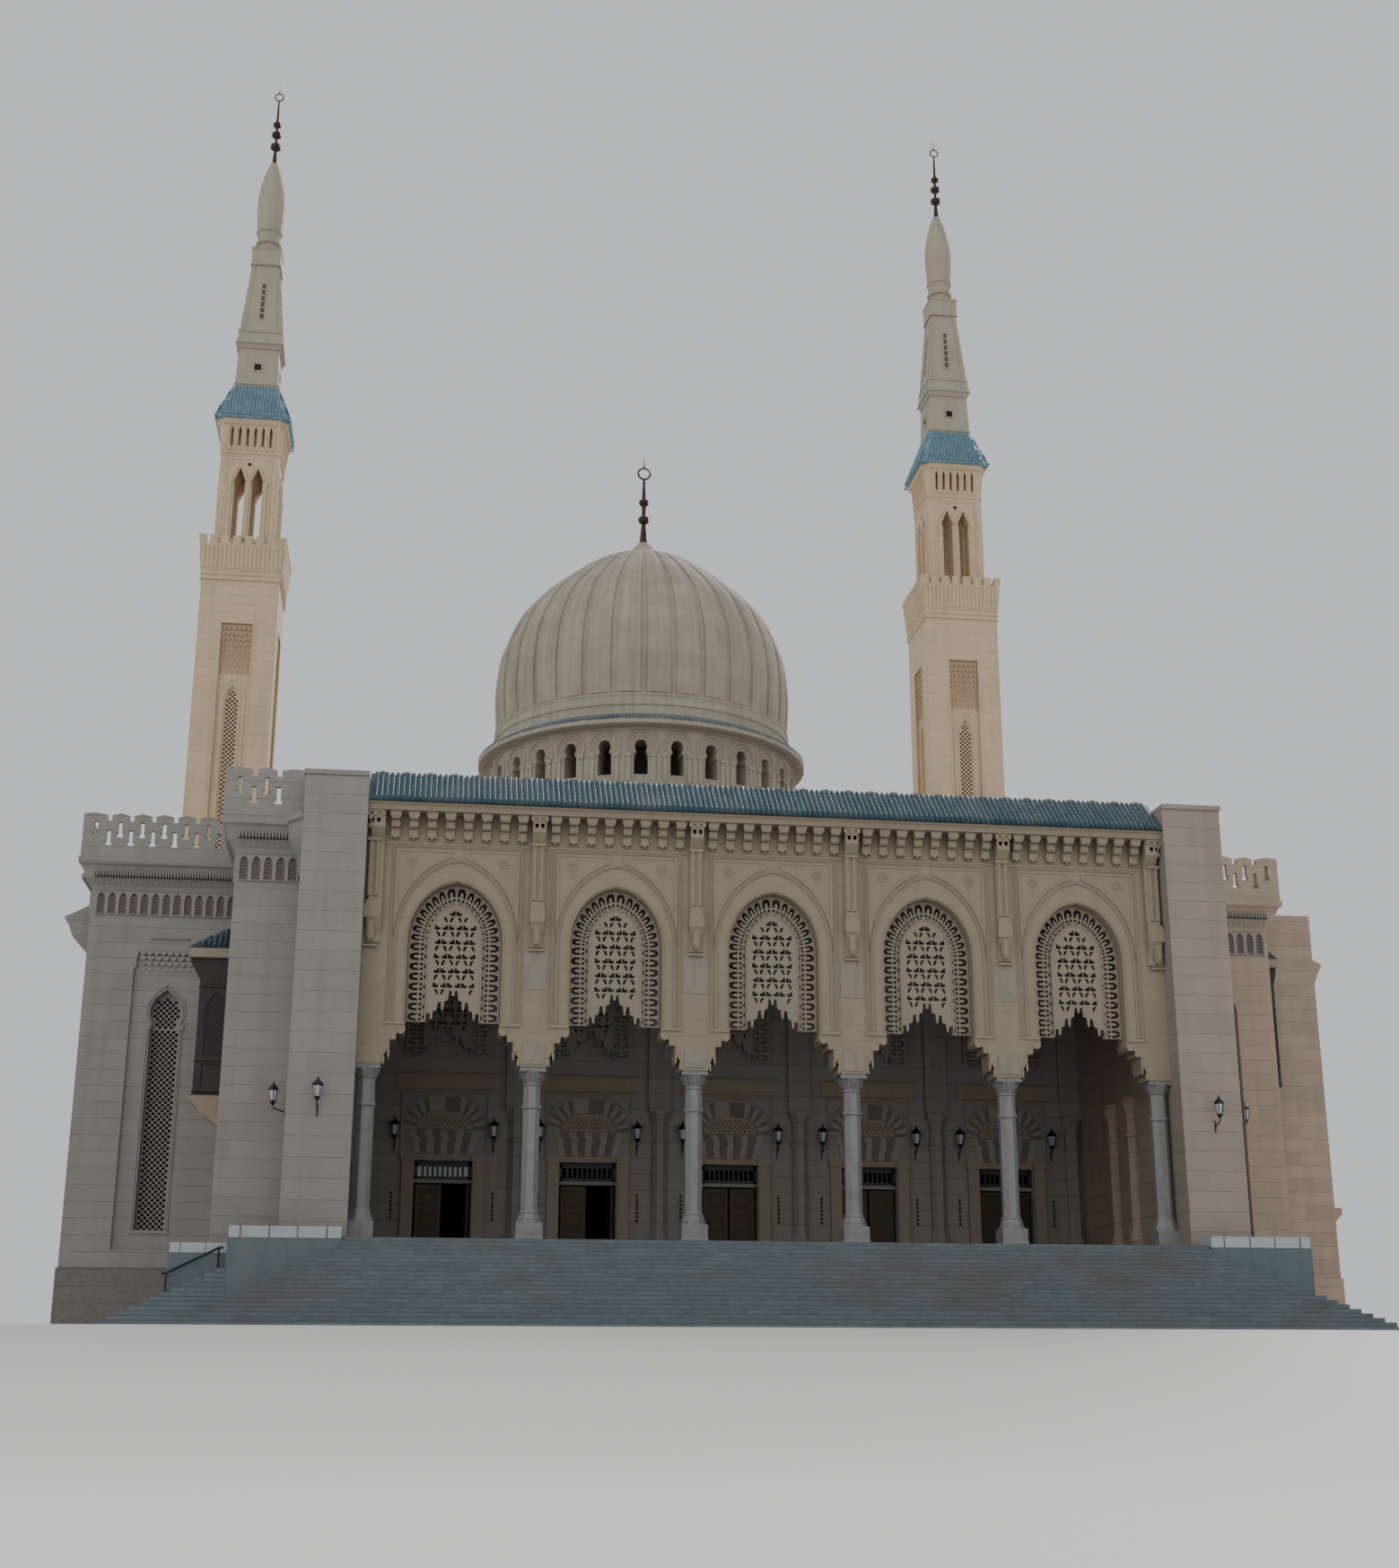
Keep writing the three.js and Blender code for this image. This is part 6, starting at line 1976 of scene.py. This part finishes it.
class MOSQUE_OT_minarets(bpy.types.Operator):
    """Lattices, stalactite panels, balconies, galleries, tiled caps and collars of both minarets"""

    bl_idname = "mosque.minarets"
    bl_label = "Minarets"

    def execute(self, context):
        stone = finishes["minaret carving"]
        on_all_faces("minaret_shaft_mouldings", shaft_pile(), stone)
        piece("minaret_lattices", joined("minaret_lattices", light_lattice()), stone)
        panel = stalactites(1.17, 51.35, 9, 0.46, 6, on_front(-MINARET_HALF + 0.2), 0.13)
        on_all_faces("minaret_stalactites", panel, finishes["clay"])
        on_all_faces("minaret_lantern_carving", lantern_stage_pile(), stone)
        on_all_faces("minaret_roof_tiles", hood_tiles_pile(), finishes["faded tile"],
                     smooth=50)
        on_all_faces("minaret_spire_mouldings", spire_pile(), finishes["dome carving"])
        # painted shadow: near-black plates in the small square opening and in the ring of the upper stage
        dark = Pile()
        dark.prism(rect(-0.28, 0.28, 78.67, 79.23), on_front(-1.69), -0.02, 0.02)
        dark.prism(disc(0, 69.75, 0.17), on_front(-2.35), -0.02, 0.012)
        # painted shade: dark brown plates behind the lattice of each long light and in the spire's slit
        back = Pile()
        back.prism(arched(0.57, 6.0, 49.3, 1.2, 6), on_front(-MINARET_HALF + 0.5), -0.01, 0.03)
        back.prism([(-0.16, 83.4), (0.16, 83.4), (0.12, 87.1), (-0.12, 87.1)],
                   lambda u, v, w: (u, -(1.7 - (v - 82.2) * 0.6 / 6.8) - w, v), -0.03, 0.012)
        on_all_faces("minaret_light_backs", back, finishes["hollow"])
        on_all_faces("minaret_openings", dark, finishes["shadow"])
        rings = Pile()
        for side in (-1, 1):
            x = side * MINARET_X
            for r, z in ((0.95, 90.7), (1.02, 91.3), (1.04, 92.45)):
                rings.lathe([(r, z), (r + 0.07, z + 0.05), (r + 0.07, z + 0.14), (r, z + 0.19)],
                            32, x, MINARET_Y)
        piece("bulb_rings", rings, finishes["dome carving"], smooth=40)
        return {"FINISHED"}


# Columns

def capital_pile():
    """Leaves round the head of a column, with mouldings above and below and a ring at the base."""
    pile = Pile()
    for k in range(16):
        a = math.tau * k / 16
        leaf = []
        for r, z, half in ((0.36, 9.3, 0.05), (0.42, 9.42, 0.075), (0.5, 9.56, 0.06), (0.53, 9.62, 0.02)):
            turn = turned_about(0, 0, a)
            leaf.append([turn(r, -half, z), turn(r, half, z),
                         turn(r - 0.06, half, z + 0.02), turn(r - 0.06, -half, z + 0.02)])
        pile.skin(leaf)
    for r, z in ((0.36, 9.2), (0.5, 4.02), (0.45, 4.16), (0.38, 4.4)):
        pile.lathe([(r - 0.03, z - 0.05), (r + 0.02, z - 0.03), (r + 0.02, z + 0.03), (r - 0.03, z + 0.05)],
                   16, 0, 0)
    pile.skin([
        [(-h, -h, z), (h, -h, z), (h, h, z), (-h, h, z)]
        for h, z in ((0.5, 9.66), (0.53, 9.7), (0.53, 9.74), (0.5, 9.78))])
    pile.skin([
        [(-h, -h, z), (h, -h, z), (h, h, z), (-h, h, z)]
        for h, z in ((0.52, FLOOR + 0.003), (0.52, FLOOR + 0.22), (0.5, FLOOR + 0.26))])
    return pile


class MOSQUE_OT_columns(bpy.types.Operator):
    """Carved heads and turned base rings of the four inner columns"""

    bl_idname = "mosque.columns"
    bl_label = "Columns"

    def execute(self, context):
        lines = pillars()
        mesh = rows_of(capital_pile(), finishes["column"], (lines[1], 1.5, 0), BAYS - 1, (BAY, 0, 0),
                       smooth=40)
        piece("column_carving", mesh, finishes["column"])
        return {"FINISHED"}


# Stage and light

class MOSQUE_OT_stage(bpy.types.Operator):
    """A plain pale floor, soft light from behind on the right, and a camera where the photograph was taken"""

    bl_idname = "mosque.stage"
    bl_label = "Stage, light and camera"

    def execute(self, context):
        paint = bpy.data.materials.new("Plain pale floor")
        paint.use_nodes = True
        paint.node_tree.nodes["Principled BSDF"].inputs["Base Color"].default_value = (*colours().floor, 1)
        paint.node_tree.nodes["Principled BSDF"].inputs["Roughness"].default_value = 0.9
        # the floor is level under the model and falls away smoothly in front, below the low camera
        reach, drop, bend_from, bend_to = 600.0, 3.6, -9.0, -34.0
        pile = Pile()
        path = [(reach, 0.0), (bend_from, 0.0)]
        for k in range(1, 17):
            t = k / 16
            path.append((bend_from + (bend_to - bend_from) * t, -drop * t * t * (3 - 2 * t)))
        path.append((-reach, -drop))
        rows = [[(-reach, y, z), (reach, y, z)] for y, z in path]
        pile.skin(rows, closed=False)
        # skin joins each row back to its own start, so every second face repeats the one before
        pile.faces = pile.faces[::2]
        floor = bpy.data.objects.new("floor", pile.mesh("floor", 60))
        floor.data.materials.append(paint)
        context.scene.collection.objects.link(floor)

        world = bpy.data.worlds.new("Soft sky")
        world.use_nodes = True
        world.node_tree.nodes["Background"].inputs["Color"].default_value = (*linear("#F1F3F6"), 1)
        world.node_tree.nodes["Background"].inputs["Strength"].default_value = SKY
        context.scene.world = world
        for name, energy, spread, azimuth, height in LAMPS:
            lamp = bpy.data.lights.new(name, "SUN")
            lamp.energy = energy
            lamp.angle = math.radians(spread)
            holder = bpy.data.objects.new(name, lamp)
            holder.rotation_euler = (math.radians(90 - height), 0, math.radians(azimuth))
            context.scene.collection.objects.link(holder)

        camera = bpy.data.cameras.new("camera")
        camera.sensor_width = 36
        camera.lens = CAMERA_LENS
        camera.clip_end = 1000
        holder = bpy.data.objects.new("camera", camera)
        holder.location = CAMERA_PLACE
        pitch, yaw, roll = (math.radians(a) for a in CAMERA_ANGLES)
        aimed = Matrix.Rotation(-yaw, 4, "Z") @ Matrix.Rotation(math.pi / 2 + pitch, 4, "X")
        look = aimed @ Matrix.Rotation(roll, 4, "Z")
        holder.rotation_euler = look.to_euler()
        context.scene.collection.objects.link(holder)
        context.scene.camera = holder
        return {"FINISHED"}


# The camera as solved from the photograph: place in metres, lens in millimetres,
# and pitch, yaw and roll in degrees
CAMERA_PLACE = (-1.3635, -7.5, -0.17)
CAMERA_LENS = 45.51
CAMERA_ANGLES = (16.780, 7.986, 0.058)

# Strength of the sky, and lamps as (name, strength, spread, azimuth they shine from, height)
SKY = 0.75
LAMPS = [("sun behind on the right", 2.2, 25, 150, 38), ("fill from the front left", 0.8, 90, -30, 35)]

STEPS = [
    MOSQUE_OT_solids, MOSQUE_OT_screens, MOSQUE_OT_arcade, MOSQUE_OT_porch_tiles, MOSQUE_OT_columns,
    MOSQUE_OT_doorways, MOSQUE_OT_door_leaves, MOSQUE_OT_friezes, MOSQUE_OT_windows, MOSQUE_OT_bay_windows,
    MOSQUE_OT_fittings, MOSQUE_OT_dome, MOSQUE_OT_minarets, MOSQUE_OT_stage,
]


class MOSQUE_PT_sidebar(bpy.types.Panel):
    """Buttons for every group of pieces, and the sizes and colours they use"""

    bl_label = "Mosque"
    bl_idname = "MOSQUE_PT_sidebar"
    bl_space_type = "VIEW_3D"
    bl_region_type = "UI"
    bl_category = "Mosque"

    def draw(self, context):
        for step in STEPS:
            self.layout.operator(step.bl_idname)
        for group in (context.scene.mosque_sizes, context.scene.mosque_colours):
            for name in group.__annotations__:
                self.layout.prop(group, name)


def register():
    for part in (MosqueColours, MosqueSizes, *STEPS, MOSQUE_PT_sidebar):
        bpy.utils.register_class(part)
    bpy.types.Scene.mosque_colours = bpy.props.PointerProperty(type=MosqueColours)
    bpy.types.Scene.mosque_sizes = bpy.props.PointerProperty(type=MosqueSizes)


def unregister():
    del bpy.types.Scene.mosque_sizes
    del bpy.types.Scene.mosque_colours
    for part in reversed((MosqueColours, MosqueSizes, *STEPS, MOSQUE_PT_sidebar)):
        bpy.utils.unregister_class(part)


def main():
    register()
    for step in STEPS:
        group, name = step.bl_idname.split(".")
        getattr(getattr(bpy.ops, group), name)()


if __name__ == "__main__":
    main()
